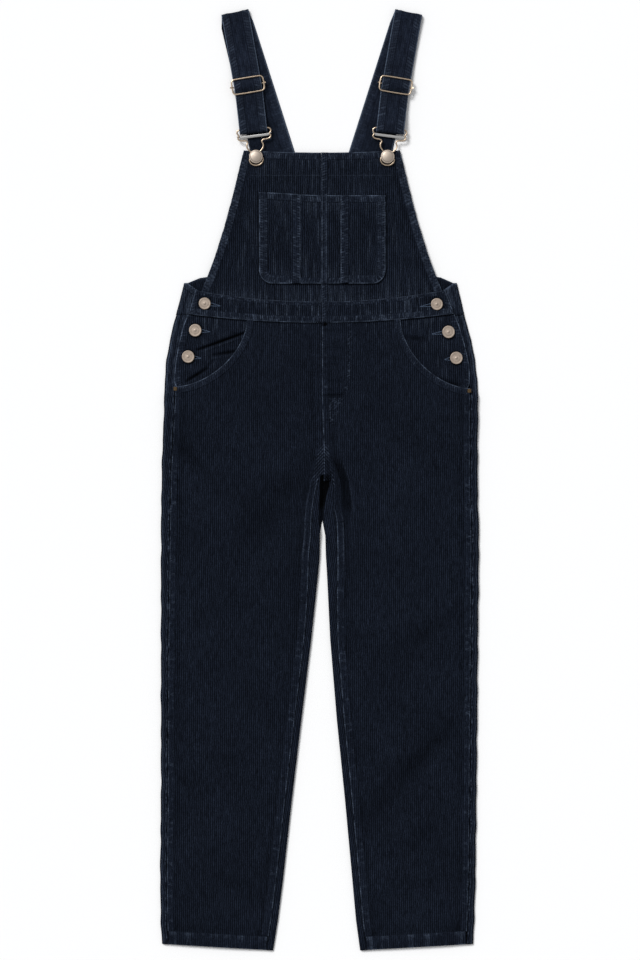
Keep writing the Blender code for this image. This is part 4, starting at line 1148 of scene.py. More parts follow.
def back_leg(side):
    """A back: flat on the table, its edges curled up to the seams on the front."""
    out, inward = outward(side), -outward(side)
    heights = np.unique(np.concatenate([np.arange(0, 874, LIP_STEP), np.arange(573.3, 622, LIP_STEP),
                                        [CROTCH - 7, CROTCH, BACK_SEAM - 0.03]]))
    up = heights[:, None]
    edge = outline(side, up) + 0.55 * ripple(up, 2.0 + out, 46.0)
    top, inner_top = lip_level(up), column(LEVELS, up, "edge")
    start = edge + inward * CURL
    lip_end = edge + inward * (lip_width(side, up) - GAP / 2)
    seam = rise(up) + inward * 0.03
    bulge = column(LEGS, up, f"inner_{side}")
    bulge = np.minimum(bulge, seam) if side == "left" else np.maximum(bulge, seam)
    closed = blend(FORK_TIP, rise(up), smooth_step((up - BACK_CROTCH) / 40)) + inward * 0.03
    foot = blend(bulge - inward * CURL, closed, clamp((up - BACK_CROTCH + 45) / 45))
    inseam_lip = inseam_edge(side, np.minimum(up, CROTCH - 7)) + inward * GAP / 2

    def lip(first, last, level, count, seam_x):
        """Columns of a lip, drawn into puckers next to the seam."""
        x = blend(first, last, np.linspace(0.0, 1.0, count))
        return x, level - 0.3 * disorder(np.round(up / 4.3), 5.0) * hump(x - seam_x, 5)

    floor_x = start + (foot - start) * np.linspace(0.1, 0.9, FLOOR_COLUMNS)
    curl_end = bulge + inward * np.minimum((foot - bulge) * inward, 0.0)
    parts = [lip(lip_end, start, top, LIP_COLUMNS, lip_end),
             curl(edge, start, top, inward, CURL_SHARES),
             (floor_x, 0 * floor_x),
             curl(bulge, foot, inner_top, -inward, CURL_SHARES[::-1]),
             lip(curl_end, inseam_lip, inner_top, 9, inseam_lip)]
    x, z = (np.hstack([part[k] for part in parts]) for k in (0, 1))
    index, on_floor = np.arange(x.shape[1]), LIP_COLUMNS + len(CURL_SHARES)
    z = np.where((up >= CROTCH) & (index > on_floor + FLOOR_COLUMNS), np.nan, z)

    dotted = disorder(np.round(up / LIP_STEP), 3.0 + out) ** 2
    from_edge = np.abs(x - edge)
    on_stand = smooth_step((up - PLACKET_FOOT) / 10)
    # Wear and painted light: painted highlights on the puckers beside the lip's end and inside the curled
    # rim, painted shade where the rim turns down, the stand's painted streaks, and painted shadow where the
    # lips pass under the fronts.
    wear = (0.5 * dotted * hump(np.abs(x - lip_end) - 1.8, 1.6)
            + 0.26 * hump(from_edge - 2.9, 1.3) * (z > 2.0) - 0.04
            - 0.5 * hump(from_edge, 2.2)
            + on_stand * stand_light(from_edge, up)
            - 0.9 * hump(x - lip_end, 1.7)
            - 0.5 * hump(x - inseam_lip, 1.4))
    # On the table the cloth gets no highlight. Low down and inside the curls it is painted dark: the inside's
    # own darker colour with painted shadow, black in the hole above the back crotch.
    wear = np.where(index >= on_floor, np.minimum(wear, 0.0), wear)
    inside = (index >= on_floor) & ((foot - bulge) * inward > 0)
    deep = blend(-0.5, -1.0, smooth_step((up - 603) / 12))
    wear = np.where((z < 1.0) | inside & (z < inner_top - 0.3), deep, wear)
    thing = grid_object(f"back_leg_{side}_cloth", points(x, up + hem_slant(side, x, up), z), wear,
                        points(x - out * LIP_GRAIN * up, up), face_up=False)
    dress_cloth(thicken(thing, CLOTH), f"back_leg_{side}")
    width = np.abs(foot - edge) + 0.8 * top + lip_width(side, up)
    width += np.where(up < CROTCH, 0.8 * inner_top + np.abs(inseam_lip - bulge), 0.0)


# ---------------------------------------------------------------- hips and waist

def hip_panel(side):
    """The piece behind the scooped pocket, whose outer edge is the buttoned placket."""
    scoop, out, level = SCOOPS[side], outward(side), hip_level(side)

    def outer(height):
        return column(PLACKETS, height, side) - out * TUCK

    def inner(height):
        behind = scoop_x(side, height) - out * POCKET_UNDERLAP
        return np.where(height < scoop.bottom + 12, blend(outer(height), scoop.inner_x, 0.45), behind)

    def height_of(x, height):
        return np.minimum(height, sag(WAIST_BOTTOM, x) - GAP)

    def wear_and_shading_of(x, height, cord):
        # Painted shade in the folds, painted shadow under the waistband and round the buttons, and painted
        # highlights on the cords gathered at the waistband's seam.
        below = sag(WAIST_BOTTOM, x) - 1.0 - height
        folds = 1.5 * shade_of(HIP_FOLDS[side], x, height)
        drawn = gathers(cord, below, 6.0, 0.4, 26.0)
        return folds + under_edge(below) + round_buttons(x, height) + drawn - 0.04

    heights = np.linspace(766.0, 879.0, 86)
    body = clipped_sheet(f"hip_panel_{side}_cloth", heights, *in_order(side, outer, inner), level, wear_and_shading_of,
                         height_of, light=0.22, cords=1.2)
    up = np.linspace(766.0, 877.0, 80)
    placket = Band(points(column(PLACKETS, up, side), up), level, out, rise=0.45, pucker=0.28,
                   seed=15.0 + out, rim=1.2, dots=0.35, rungs=0.4, tone=-0.06)
    sew_band(placket)
    thing = dress_cloth(panel_object(body.name, body, [placket], HIP_CLOTH), f"hip_panel_{side}")
    lay_panel(outer, inner, heights)


def front_waistband(side):
    """Half of the front waistband, from its buttoned end to the centre seam."""
    out = outward(side)
    low_end, high_end = (getattr(edge, side) for edge in WAIST_ENDS)

    def end(v):
        return blend(low_end, high_end, v)

    def seam(v):
        return CENTRE + out * (GAP / 2 if side == "left" else TUCK) + 0 * v

    def height_of(x, v):
        return blend(sag(WAIST_BOTTOM, x) + 6.4, sag(WAIST_TOP, x) - 4.6, v)

    def outer(v):
        return end(v) - out * 5.0

    def wear_and_shading_of(x, height, cord):
        # Painted highlights on the cords gathered at both edges, and painted shadow round the buttons.
        drawn = gathers(cord, height - sag(WAIST_BOTTOM, x), 8.0, 0.6, 28.0)
        drawn += gathers(cord, sag(WAIST_TOP, x) - height, 11.0, 0.5, 26.0)
        return drawn + round_buttons(x, height) - 0.06

    body = clipped_sheet(f"front_waistband_{side}_cloth", np.linspace(0.0, 1.0, 19),
                         *in_order(side, outer, seam), waistband_level, wear_and_shading_of, height_of, light=0.17,
                         cords=1.35)
    x = np.linspace(CENTRE + out * GAP / 2, low_end, 90)
    foot = Band(points(x, sag(WAIST_BOTTOM, x) - 1.0), waistband_level, out, rise=0.25, drop=2.2,
                seed=18.0 + out, rim=0.6, dots=0.8, rungs=0.9, tone=0.04, pitch=3.1)
    x = np.linspace(CENTRE + out * GAP / 2, high_end, 90)
    top = Band(points(x, sag(WAIST_TOP, x)), waistband_level, -out, width=7.0, rise=0.2, pucker=0.2,
               drop=1.6, seed=20.0 + out, rim=0.35, dots=0.9, rungs=0.7, skew=0.6, pitch=3.4)
    v = np.linspace(0.0, 1.0, 30)
    tip = Band(points(end(v), blend(sag(WAIST_BOTTOM, low_end), sag(WAIST_TOP, high_end), v)),
               waistband_level, out, width=8.0, rise=0.3, pucker=0.24, drop=2.2, seed=22.0, rim=0.9,
               dots=0.5, rungs=0.6, tone=0.08)
    bands = [foot, top, tip]
    for band in bands:
        sew_band(band, (1.9,))
    if side == "right":
        up = np.linspace(WAIST_BOTTOM.middle, WAIST_TOP.middle, 30)
        bands.append(Band(points(CENTRE, up), waistband_level, -1, width=8.0, rise=0.35, pucker=0.24,
                          drop=0.8, seed=24.0, rim=0.35, rungs=0.7))
        sew_band(bands[-1])
    thing = dress_cloth(panel_object(body.name, body, bands), f"front_waistband_{side}")
    foot, top = WAIST_SPAN
    lay_panel(lambda height: end((height - foot) / (top - foot)), lambda height: CENTRE + 0 * height,
              np.array(WAIST_SPAN))


def back_waistband():
    """Flat across the back, both ends curled round to lie under the front's buttoned edges."""
    share = np.linspace(0.0, 1.0, 12)[:, None]
    bottom = BACK_SEAM + 0.03
    at = blend(bottom, BAND_CORNER, share)
    parts, bands = {}, []
    for side in SIDES:
        inward = -outward(side)
        edge = outline(side, at)
        low, high = in_order(side, edge + inward * CURL, edge + inward * BUTTON_STAND)
        x = np.clip(wale_columns(low.min(), high.max())[::outward(side)], low, high)
        slope = BAND_CORNER_SLOPE * (np.abs(x - edge) - CURL) * BUTTON_STAND / (BUTTON_STAND - CURL)
        parts[side] = x, LIP_UNDER_PLACKET - pile(x, at), BAND_CORNER - slope
        bend = curl(edge, edge + inward * CURL, LIP_UNDER_PLACKET + 0 * edge, inward, CURL_SHARES)
        parts[f"{side}_curl"] = *bend, BAND_CORNER + 0 * bend[0]
        corner = outline(side, BAND_CORNER)
        line = [(corner + inward * reach, BAND_CORNER - BAND_CORNER_SLOPE * max(0.0, reach - CURL) * 1.16)
                for reach in (3.5, CURL, 12, 20, BUTTON_STAND)]
        bands.append(Band(line, lambda x, height: LIP_UNDER_PLACKET + 0 * x, outward(side), width=9.5,
                          rise=0.35, pucker=0.2, seed=30.0, rim=0.9, dots=0.4, tone=0.12))
        sew_band(bands[-1])
    floor = np.linspace(-165.0, 167.0, 15) + 0 * at
    drop = BACK_WAIST_DROP * clamp((np.abs(floor - CENTRE) - 140) / 50) ** 1.5
    parts["floor"] = floor, 0 * floor, BACK_WAIST_TOP - drop
    parts["right_curl"] = [part[:, ::-1] for part in parts["right_curl"]]
    order = ("left", "left_curl", "floor", "right_curl", "right")
    x, z, top = (np.hstack([parts[name][k] for name in order]) for k in range(3))
    height = blend(bottom, top, share)
    from_edge = np.minimum(np.abs(x - outline("left", height)), np.abs(x - outline("right", height)))
    # Painted streaks on the raised ends, painted shade where they curl down at the edge, darker where it lies
    # on the table, and wear with a painted highlight along the top edge.
    wear = np.where(z > 1.5, stand_light(from_edge, height) - 0.5 * hump(from_edge, 2.2), -0.25)
    wear += 0.5 * hump(top - height, 2.0)
    body = grid_object("back_waistband_cloth", points(x, height, z), wear, points(x, height), face_up=False)
    thing = dress_cloth(panel_object(body.name, body, bands), "back_waistband")
    width = 2 * (outline("right", 900.0) + BUTTON_STAND)


def back_bib():
    """The back's upper end between the straps, flat on the table."""

    def left(height):
        return CENTRE - column(YOKE_SIDES, height, "half_width")

    def right(height):
        return CENTRE + column(YOKE_SIDES, height, "half_width")

    heights = np.linspace(BACK_WAIST_TOP + GAP, YOKE_TOP - GAP, 12)
    up = heights[:, None]
    x = CENTRE + column(YOKE_SIDES, up, "half_width") * np.linspace(-1, 1, 40)
    thing = grid_object("back_bib_cloth", points(x, up, CLOTH), 0 * x, points(x, up))
    dress_cloth(thicken(thing, CLOTH), "back_bib")
    lay_panel(left, right, heights, allowance=0.0)


# ---------------------------------------------------------------- bib and its pocket

def bib(side):
    """Half the bib, with its hem, top facing and centre seam standing proud."""
    out = outward(side)

    def surface(x, height):
        return bib_level(x, height) + 0.4 * smooth_step((height - BIB_FACING_LINE) / 1.5 + 0.5)

    def outer(height):
        return bib_side(side, height) - out * TUCK

    def seam(height):
        return BIB_SEAM + out * (GAP / 2 if side == "left" else TUCK) + 0 * height

    def height_of(x, height):
        foot, top = sag(WAIST_TOP, x) - 2.0, sag(BIB_TOP, x, CENTRE) - TUCK
        return np.clip(np.where(height < 891, foot, height), foot, top)

    def wear_and_shading_of(x, height, cord):
        # Painted highlights on the cords gathered at the top and at the waistband, painted shade in the
        # hollow beside the hem, a painted highlight along the facing's edge, and painted shadow round the
        # pocket.
        drawn = gathers(cord, sag(BIB_TOP, x, CENTRE) - height, 14.0, 0.26, 34.0)
        drawn += gathers(cord, height - sag(WAIST_TOP, x), 17.0, 0.24, 36.0)
        hollow = -0.16 * hump(np.abs(bib_side(side, height) - x) - 14.5, 5)
        facing = 0.12 * (height > BIB_FACING_LINE - 0.2) * (height < BIB_FACING_LINE + 1.2)
        return drawn + hollow + facing + beside_pocket(x, height)

    heights = np.unique(np.concatenate([np.arange(890.0, 1100.0, 5.0), np.arange(915.0, 920.0, 0.8),
                                        [1066.5, 1067.5, 1068.5, 1069.5, 1099.0, 1103.0]]))
    body = clipped_sheet(f"bib_{side}_cloth", heights, *in_order(side, outer, seam), surface, wear_and_shading_of,
                         height_of, light=0.17, cords=1.35)
    up = np.linspace(sag(WAIST_TOP, 162.0) - 3, sag(BIB_TOP, 107.6), 110)
    hem = Band(points(bib_side(side, up), up), bib_level, out, width=12.0, rise=0.5, seed=33.0 + out,
               rim=0.5, dots=0.7, rungs=0.4, tone=0.09, skew=0.5, lumps=6.0)
    x = np.linspace(BIB_SEAM + out * GAP / 2, CENTRE + out * 107.4, 80)
    top = Band(points(x, sag(BIB_TOP, x, CENTRE)), surface, -out, width=11.0, rise=0.25, pucker=0.2,
               seed=35.0 + out, rim=0.75, dots=0.5, rungs=0.6, tone=0.04, pitch=3.1)
    bands = [hem, top]
    sew_band(hem)
    sew_band(top, (1.9,))
    facing_x = np.linspace(BIB_SEAM + out * 12, CENTRE + out * 104, 60)
    sew_on(surface, points(facing_x, BIB_FACING_LINE + 1.5))
    if side == "right":
        bands.append(Band(points(BIB_SEAM, np.linspace(893.0, 1100.0, 110)), surface, -1, width=10.0,
                          rise=0.5, seed=37.0, dots=0.9, rungs=0.5, pitch=3.6))
        sew_band(bands[-1])
    thing = dress_cloth(panel_object(body.name, body, bands), f"bib_{side}")
    lay_panel(outer, seam, np.linspace(895.0, 1101.0, 60))


def beside_pocket(x, height):
    """Painted shadow on the bib: the thin shade round the pocket, deepest on its right and under it."""
    half_x, half_h = (POCKET_RIGHT - POCKET_LEFT) / 2, 63.0
    x = x - (POCKET_RIGHT + POCKET_LEFT) / 2
    height = height - POCKET_BOTTOM - half_h
    beyond_x = np.abs(x) - half_x + POCKET_CORNER
    beyond_h = np.where(height < 0, -height - half_h + POCKET_CORNER, 0.0)
    away = np.hypot(np.maximum(beyond_x, 0.0), np.maximum(beyond_h, 0.0)) - POCKET_CORNER
    lower_right = np.clip(0.65 + 0.45 * (x / half_x - height / half_h), 0.5, 1.0)
    return under_edge(away) * lower_right * (height < half_h)


PocketPanel = namedtuple("PocketPanel", "low high")
POCKET_PANELS = {"left": PocketPanel(POCKET_LEFT, POCKET_BAND_LEFT[1]),
                 "middle": PocketPanel(POCKET_BAND_LEFT[1] + GAP, POCKET_BAND_RIGHT[0] - GAP),
                 "right": PocketPanel(POCKET_BAND_RIGHT[0], POCKET_RIGHT)}


def pocket_panel(side):
    """One panel of the bib pocket, lying on the bib, with its hems and its raised band."""
    low_x, high_x = POCKET_PANELS[side]
    tuck = TUCK if side != "middle" else 0.0

    def surface(x, height):
        return pocket_level(x, height) - 0.2 * fold_depth(POCKET_FOLDS, x, height)

    def limit(x, height):
        inset = corner_inset(height) + TUCK
        return np.clip(x + 0 * height, POCKET_LEFT + inset, POCKET_RIGHT - inset)

    def low(height):
        return limit(low_x + tuck, height)

    def high(height):
        return limit(high_x - tuck, height)

    def height_of(x, height):
        lifted = np.maximum(height, POCKET_BOTTOM + TUCK)
        return np.where(height > POCKET_TOP_RIGHT, pocket_top(x) - TUCK, lifted)

    def wear_and_shading_of(x, height, cord):
        # Painted highlights on the cords gathered at the hem and the foot, and painted shade in its folds.
        drawn = gathers(cord, pocket_top(x) - height, 20.0, 0.3, 40.0)
        drawn += gathers(cord, height - POCKET_BOTTOM, 23.0, 0.22, 26.0)
        return drawn + 0.7 * shade_of(POCKET_FOLDS, x, height)

    arc = POCKET_BOTTOM + POCKET_CORNER * (1 - np.cos(np.linspace(0, pi / 2, 9)))
    heights = np.unique(np.concatenate([arc, np.arange(941.0, 1036.0, 8.0), [POCKET_TOP_LEFT]]))
    body = clipped_sheet(f"bib_pocket_{side}_cloth", heights, low, high, surface, wear_and_shading_of, height_of,
                         light=0.23, cords=1.4, columns=wale_columns(low_x, high_x))
    x = np.linspace(low_x, high_x, 40)
    hem = Band(points(x, pocket_top(x)), surface, -1, width=POCKET_HEM - 1, rise=0.4, pucker=0.24,
               seed=40.0 + low_x, rim=1.0, dots=0.5, rungs=0.9, tone=0.07, pitch=3.1)
    if side == "middle":
        foot = Band(points(x, POCKET_BOTTOM), surface, 1, width=9.5, rise=0.3, pucker=0.22, seed=43.0,
                    rim=0.6, rungs=0.4)
        ridge = Band(points(2.7, np.linspace(POCKET_BOTTOM, POCKET_TOP_LEFT - 3, 70)), surface, -1,
                     width=9.5, rise=0.45, pucker=0.24, seed=45.0, rim=0.8, dots=0.3, rungs=0.2, crest=0.35)
        bands = [ridge, hem, foot]
    else:
        out = outward(side)
        edge_x, edge_top, band_x, inner_x = (
            (POCKET_LEFT, POCKET_TOP_LEFT, POCKET_BAND_LEFT[1], POCKET_BAND_LEFT[0] + 1) if side == "left"
            else (POCKET_RIGHT, POCKET_TOP_RIGHT, POCKET_BAND_RIGHT[0], POCKET_BAND_RIGHT[1] - 1))
        corner_x, corner_h = edge_x - out * POCKET_CORNER, POCKET_BOTTOM + POCKET_CORNER
        line = [(edge_x, edge_top), (edge_x, corner_h)]
        line += [(corner_x + out * POCKET_CORNER * cos(t), corner_h - POCKET_CORNER * sin(t))
                 for t in np.linspace(0.0, pi / 2, 14)[1:]]
        edge = Band(line + [(inner_x, POCKET_BOTTOM)], surface, -out, width=13.0, rise=0.35, pucker=0.16,
                    seed=47.0 + out, rim=0.9, dots=0.9, rungs=0.2, tone=0.03, pitch=3.3, lumps=7.0,
                    ease=False)
        up = np.linspace(POCKET_BOTTOM + 0.5, pocket_top(band_x) - 0.5, 70)
        strip = Band(points(band_x, up), surface, -out, width=12.3, rise=0.95, pucker=0.2, drop=0.6,
                     seed=49.0 + out, rim=0.85, dots=1.0, rungs=0.3, pitch=3.6, lumps=7.0)
        bands = [hem, edge, strip]
    for band in bands:
        sew_band(band)
    thing = dress_cloth(panel_object(body.name, body, bands), f"bib_pocket_{side}")
    lay_panel(low, high, np.linspace(POCKET_BOTTOM, POCKET_TOP_RIGHT, 40))


# ---------------------------------------------------------------- straps

def on_side(side, out, height, z):
    """A place in millimetres, given by its distance outwards from the centre front."""
    return CENTRE + outward(side) * out, height, z


def cross_station(side, out, height, tilt, z):
    """Outer and inner edge of the strap, across its middle line."""
    dx, dh = STRAP_HALF_WIDTH * cos(radians(tilt)), STRAP_HALF_WIDTH * sin(radians(tilt))
    return on_side(side, out + dx, height - dh, z) + on_side(side, out - dx, height + dh, z)


def flat_station(side, height, z):
    out, tilt = column(STRAP_LINE, height, "out"), column(STRAP_LINE, height, "tilt")
    return cross_station(side, out, height, tilt, z)


def turn_stations(side, height, tilt, centre_z, reach, rise_z, start, end, steps):
    """Stations round a bar across the strap: an ellipse of half-axes reach and rise_z."""
    middle = column(STRAP_LINE, height, "out")
    stations = []
    for angle in np.radians(np.linspace(start, end, steps)):
        along = reach * cos(angle)
        out, place = middle + along * sin(radians(tilt)), height + along * cos(radians(tilt))
        stations.append(cross_station(side, out, place, tilt, centre_z + rise_z * sin(angle)))
    return stations


def strap_stations(side):
    """The strap's edges in order: slider bar, down, round the buckle, up, shoulder, back."""
    bar_height = BIB_BUTTON_HEIGHT + SLIDER_UP
    wrap = ROLLED_BAR + GAP + STRAP / 2
    under = STRAP_UNDER_LEVEL
    upper = BUCKLE_LEVEL + WIRE + GAP + STRAP / 2
    through = SLIDER_LEVEL - WIRE - GAP - STRAP / 2
    over_bar = SLIDER_BAR_LEVEL + ROLLED_BAR + 2 * GAP + 1.5 * STRAP
    climbing = blend(through, over_bar, 0.6)
    resting = under + STRAP + GAP
    levels = [Layer(1140, upper), Layer(1150, blend(upper, resting, 0.6)), Layer(1162, resting)]
    levels += [Layer(bar_height + up, level) for up, level in (
        (-14.0, through - 0.2), (-8.4, through - 0.1), (-4.8, climbing), (-1.8, over_bar),
        (1.8, over_bar), (4.8, climbing), (8.4, through - 0.1), (14.0, through - 0.4))]
    levels += [Layer(1220, under + 0.6), Layer(1245, under + 0.2), Layer(1270, under + 0.8),
               Layer(1284, SHOULDER_LEVEL - 0.3)]
    stations = turn_stations(side, bar_height, SLIDER_TILT, SLIDER_BAR_LEVEL, wrap, wrap, 105, -90, 12)
    stations += [flat_station(side, height, under) for height in (1183, 1165, 1148)]
    stations += turn_stations(side, BUCKLE_TURN, STRAP_LINE[0].tilt, (upper + under) / 2, 3.6,
                              (upper - under) / 2, -90, -270, 16)
    stations += [flat_station(side, layer.height, layer.level) for layer in levels]
    half = (SHOULDER_LEVEL - STRAP / 2) / 2
    stations += turn_stations(side, SHOULDER_HEIGHT - half - STRAP / 2, STRAP_LINE[-1].tilt,
                              half + STRAP / 2, half, half, 90, -90, 14)
    turned = len(stations)
    peeks = LEFT_STRAP_PEEKS if side == "left" else 0.0
    for t in (0.06, 0.2, 0.4, 0.6, 0.8, 1.0):
        aside = (peeks * (1 - t), 0.0)
        ends = [on_side(side, blend(edge.top_out, edge.foot_out, t) + out,
                        blend(edge.top_height, edge.foot_height, t), STRAP / 2)
                for edge, out in zip(BACK_STRAP_EDGES, aside)]
        stations.append(ends[0] + ends[1])
    return np.array(stations), turned


def strap(side):
    """One strap, from the slider down round the buckle and over the shoulder to the back."""
    stations, turned = strap_stations(side)
    front = eased(stations[:turned + 1], 1.3, 2)
    back = eased(stations[turned:], 1.7, 1)[1:]
    line = np.concatenate([front, back])
    outer, inner = line[:, :3], line[:, 3:]
    middle = (outer + inner) / 2
    arc = arc_of(middle)
    normal = np.cross(inner - outer, np.gradient(middle, axis=0)) * -outward(side)
    normal /= np.linalg.norm(normal, axis=1)[:, None]
    half = np.array([1.4, 4.3, 7.2, 8.2, 9.2, 10.2, 12.0, 14.2, 16.2, 17.2, 17.8, 18.4, 18.9, 19.2])
    s, a = np.meshgrid(arc, np.concatenate([-half[::-1], half]), indexing="ij")
    away = np.abs(a)
    behind = np.arange(len(arc))[:, None] >= len(front) - 8

    turn = (s + 0.4 * away) / 4.0 + 0.4 * np.sin(s / 11) + 0.4 * (a > 0)
    number = np.floor(turn)
    bumpy = np.sin(pi * (turn - number)) ** 2 * (0.2 + 0.8 * disorder(number, 2.0 + np.sign(a)) ** 1.5)
    lift = np.interp(away, [0, 6.8, 8.0, 8.8, 9.4, 10.0, 16.6, 17.2, 17.8, 18.5, 18.9, 19.2],
                     [0, 0.0, 0.45, 0.4, 0.22, 0.45, 0.45, 0.22, 0.45, 0.35, 0.0, -0.4])
    lift += 0.35 * (bumpy - 0.25) * np.interp(away, [8.0, 11.0, 16.0, 19.0], [0, 1, 1, 0])
    lift -= np.where(away > 8.0, 0.5, 0.3) * pile(a, s) * np.where(behind, 0.3, 1.0)
    share = ((a / STRAP_HALF_WIDTH + 1) / 2)[:, :, None]
    places = outer[:, None, :] * (1 - share) + inner[:, None, :] * share
    places += normal[:, None, :] * (STRAP / 2 + lift)[:, :, None]

    # Wear with painted highlights along the edges, painted shade at the foot of each raised edge band, and
    # painted highlights and shade on the puckers of the edge bands.
    cloudy = 0.6 + 0.4 * ripple(s, 3.0 + np.sign(a), 29.0)
    drawn = np.interp(away, [8.4, 11.0, 16.0, 18.5], [0, 0.5, 0.5, 0.2]) * (bumpy - 0.12) * cloudy
    wear = (np.interp(away, [0, 7.2, 8.2, 9.0, 10.2, 16.0, 17.2, 18.2, 18.9, 19.2],
                      [0, 0, -0.2, 0.06, 0.02, 0.04, 0.1, 0.4, 0.9, 0.5])
            + drawn * np.where(behind, 0.4, 1.0)
            + 0.07 * (away < 8.0) * ripple(s + 9 * a, 6.0, 60.0))
    # Painted shade on the back stretch beside the front of the strap, deepest where the front lies over it,
    # with paler puckers along its inner hem.
    covered = np.interp(middle[:, 1], [1150.0, 1205.0], [0.35, 1.0])[:, None]
    in_shade = covered * np.interp(a, [-1.0, 1.0, 8.0, 11.0], [-0.8, -0.4, -0.35, -0.08])
    inner_hem = np.interp(a, [9.0, 11.0, 17.0, 18.0, 19.0], [0.0, 0.07, 0.07, 0.1, 0.15]) * (bumpy + 0.1)
    wear = np.where(behind, wear + in_shade + inner_hem, wear)
    cords = np.where(behind, 0.15, np.where(away < 8.0, 0.3, 0.5))
    thing = grid_object(f"strap_{side}_cloth", places, wear, points(a, s), face_up=False, cords=cords)
    dress_cloth(thicken(thing, STRAP), f"strap_{side}")
    seen = (normal[:, 2] > 0.2) & (arc < arc[len(front) - 1])
    for row in (-17.2, -9.4, 9.4, 17.2):
        share = (row / STRAP_HALF_WIDTH + 1) / 2
        path = outer * (1 - share) + inner * share + normal * (STRAP / 2 + 0.3)
        sew(resampled(path[seen], 0.5))


# ---------------------------------------------------------------- hardware and buttons

def turned_place(side, across, up, z, tilt, out, height):
    """A place in a buckle's or slider's own plane. across is positive towards the centre front."""
    lean = radians(tilt)
    dx = across * cos(lean) - up * sin(lean)
    dh = across * sin(lean) + up * cos(lean)
    return metres(*on_side(side, out - dx, height + dh, z))


def bent_wire(name, places, radius, closed=True):
    """A round wire through places in metres."""
    curve = round_curve(name, radius * MM, 5)
    curve.resolution_u = curve.render_resolution_u = 8
    spline = curve.splines.new("BEZIER")
    spline.bezier_points.add(len(places) - 1)
    for knot, place in zip(spline.bezier_points, places):
        knot.co = place
        knot.handle_left_type = knot.handle_right_type = "AUTO"
    spline.use_cyclic_u = closed
    return as_mesh(placed(name, curve))


def buckle(side):
    """The wire that hooks round the bib button, and the flat bar across it."""
    where = (BUCKLE_TILT, BIB_BUTTON_X, BIB_BUTTON_HEIGHT)
    loop = BUCKLE_WIRE + [(-across, up) for across, up in reversed(BUCKLE_WIRE[:-1])]
    places = [turned_place(side, across, up, BUCKLE_LEVEL, *where) for across, up in loop]
    wire = bent_wire(f"buckle_wire_{side}_brass", places, WIRE)
    dress(wire, [f"buckle_wire_{side}"], brass())
    roll = WIRE + 2 * GAP + PLATE / 2
    tab = [(-TAB_WIRE_AT - roll * cos(angle), BUCKLE_LEVEL + roll * sin(angle))
           for angle in np.radians(np.linspace(50, -90, 14))]
    body = [(x, BUCKLE_LEVEL - roll) for x in np.linspace(-PLATE_HALF_LENGTH, PLATE_HALF_LENGTH, 12)]
    line = tab + body + [(-x, z) for x, z in reversed(tab)]
    bm = bmesh.new()
    bmesh.ops.create_grid(bm, x_segments=len(line) - 1, y_segments=2, size=1.0)
    for vertex in bm.verts:
        j = round((vertex.co.x + 1) / 2 * (len(line) - 1))
        rolled = j < len(tab) or j >= len(line) - len(tab)
        middle, half_width = (TAB_UP, TAB_HALF_WIDTH) if rolled else (PLATE_UP, PLATE_WIDTH / 2)
        up = middle + half_width * vertex.co.y + line[j][0] * sin(radians(PLATE_TILT))
        vertex.co = turned_place(side, line[j][0], up, line[j][1], *where)
    bmesh.ops.recalc_face_normals(bm, faces=bm.faces[:])
    name = f"buckle_bar_{side}_nickel"
    thing = placed(name, mesh_from(bm, name))
    thing.data.shade_smooth()
    solid = thing.modifiers.new("thickness", "SOLIDIFY")
    solid.thickness = PLATE * MM
    solid.offset = 0.0
    rim = thing.modifiers.new("rounding", "BEVEL")
    rim.width = 0.22 * MM
    rim.segments = 2
    rim.limit_method = "ANGLE"
    dress(thing, [f"buckle_bar_{side}"], nickel())


def slider(side):
    """A wire ring over the strap, and the rolled bar under it that the strap's end wraps."""
    where = (SLIDER_TILT, BIB_BUTTON_X + SLIDER_OUT, BIB_BUTTON_HEIGHT + SLIDER_UP)
    flat_x, flat_y = SLIDER_HALF_LENGTH - SLIDER_CORNER, SLIDER_HALF_WIDTH - SLIDER_CORNER
    ring = []
    for quarter, (sx, sy) in enumerate(((1, 1), (-1, 1), (-1, -1), (1, -1))):
        for angle in np.radians(np.linspace(quarter * 90, quarter * 90 + 90, 5)):
            ring.append((sx * flat_x + SLIDER_CORNER * cos(angle), sy * flat_y + SLIDER_CORNER * sin(angle)))
    places = [turned_place(side, x, y, SLIDER_LEVEL, *where) for x, y in ring]
    wire = bent_wire(f"slider_ring_{side}_brass", places, WIRE)
    dress(wire, [f"slider_ring_{side}"], brass())
    hook = WIRE + GAP + ROLLED_BAR
    end = [(-SLIDER_HALF_LENGTH - hook * sin(angle), SLIDER_LEVEL - hook * cos(angle))
           for angle in np.radians((120, 100, 80, 55, 25, 0))]
    line = end + [(-x, z) for x, z in reversed(end)]
    places = [turned_place(side, x, 0.0, z, *where) for x, z in line]
    dress(bent_wire(f"slider_bar_{side}_brass", places, ROLLED_BAR, closed=False), [f"slider_bar_{side}"],
          brass())


def turned_head(name, profile, x, height):
    """A button turned round a vertical axis. profile lists (radius, level) from bottom to top."""
    bm = bmesh.new()
    line = [bm.verts.new((radius * MM, 0.0, level * MM)) for radius, level in profile]
    edges = [bm.edges.new(pair) for pair in zip(line, line[1:])]
    bmesh.ops.spin(bm, geom=line + edges, cent=(0, 0, 0), axis=(0, 0, 1), angle=2 * pi, steps=56,
                   use_merge=True)
    bmesh.ops.remove_doubles(bm, verts=bm.verts[:], dist=0.00001)
    bmesh.ops.recalc_face_normals(bm, faces=bm.faces[:])
    bmesh.ops.translate(bm, verts=bm.verts[:], vec=metres(x, height, 0.0))
    mesh = mesh_from(bm, name)
    mesh.shade_smooth()
    mesh.set_sharp_from_angle(angle=radians(50))
    return placed(name, mesh)


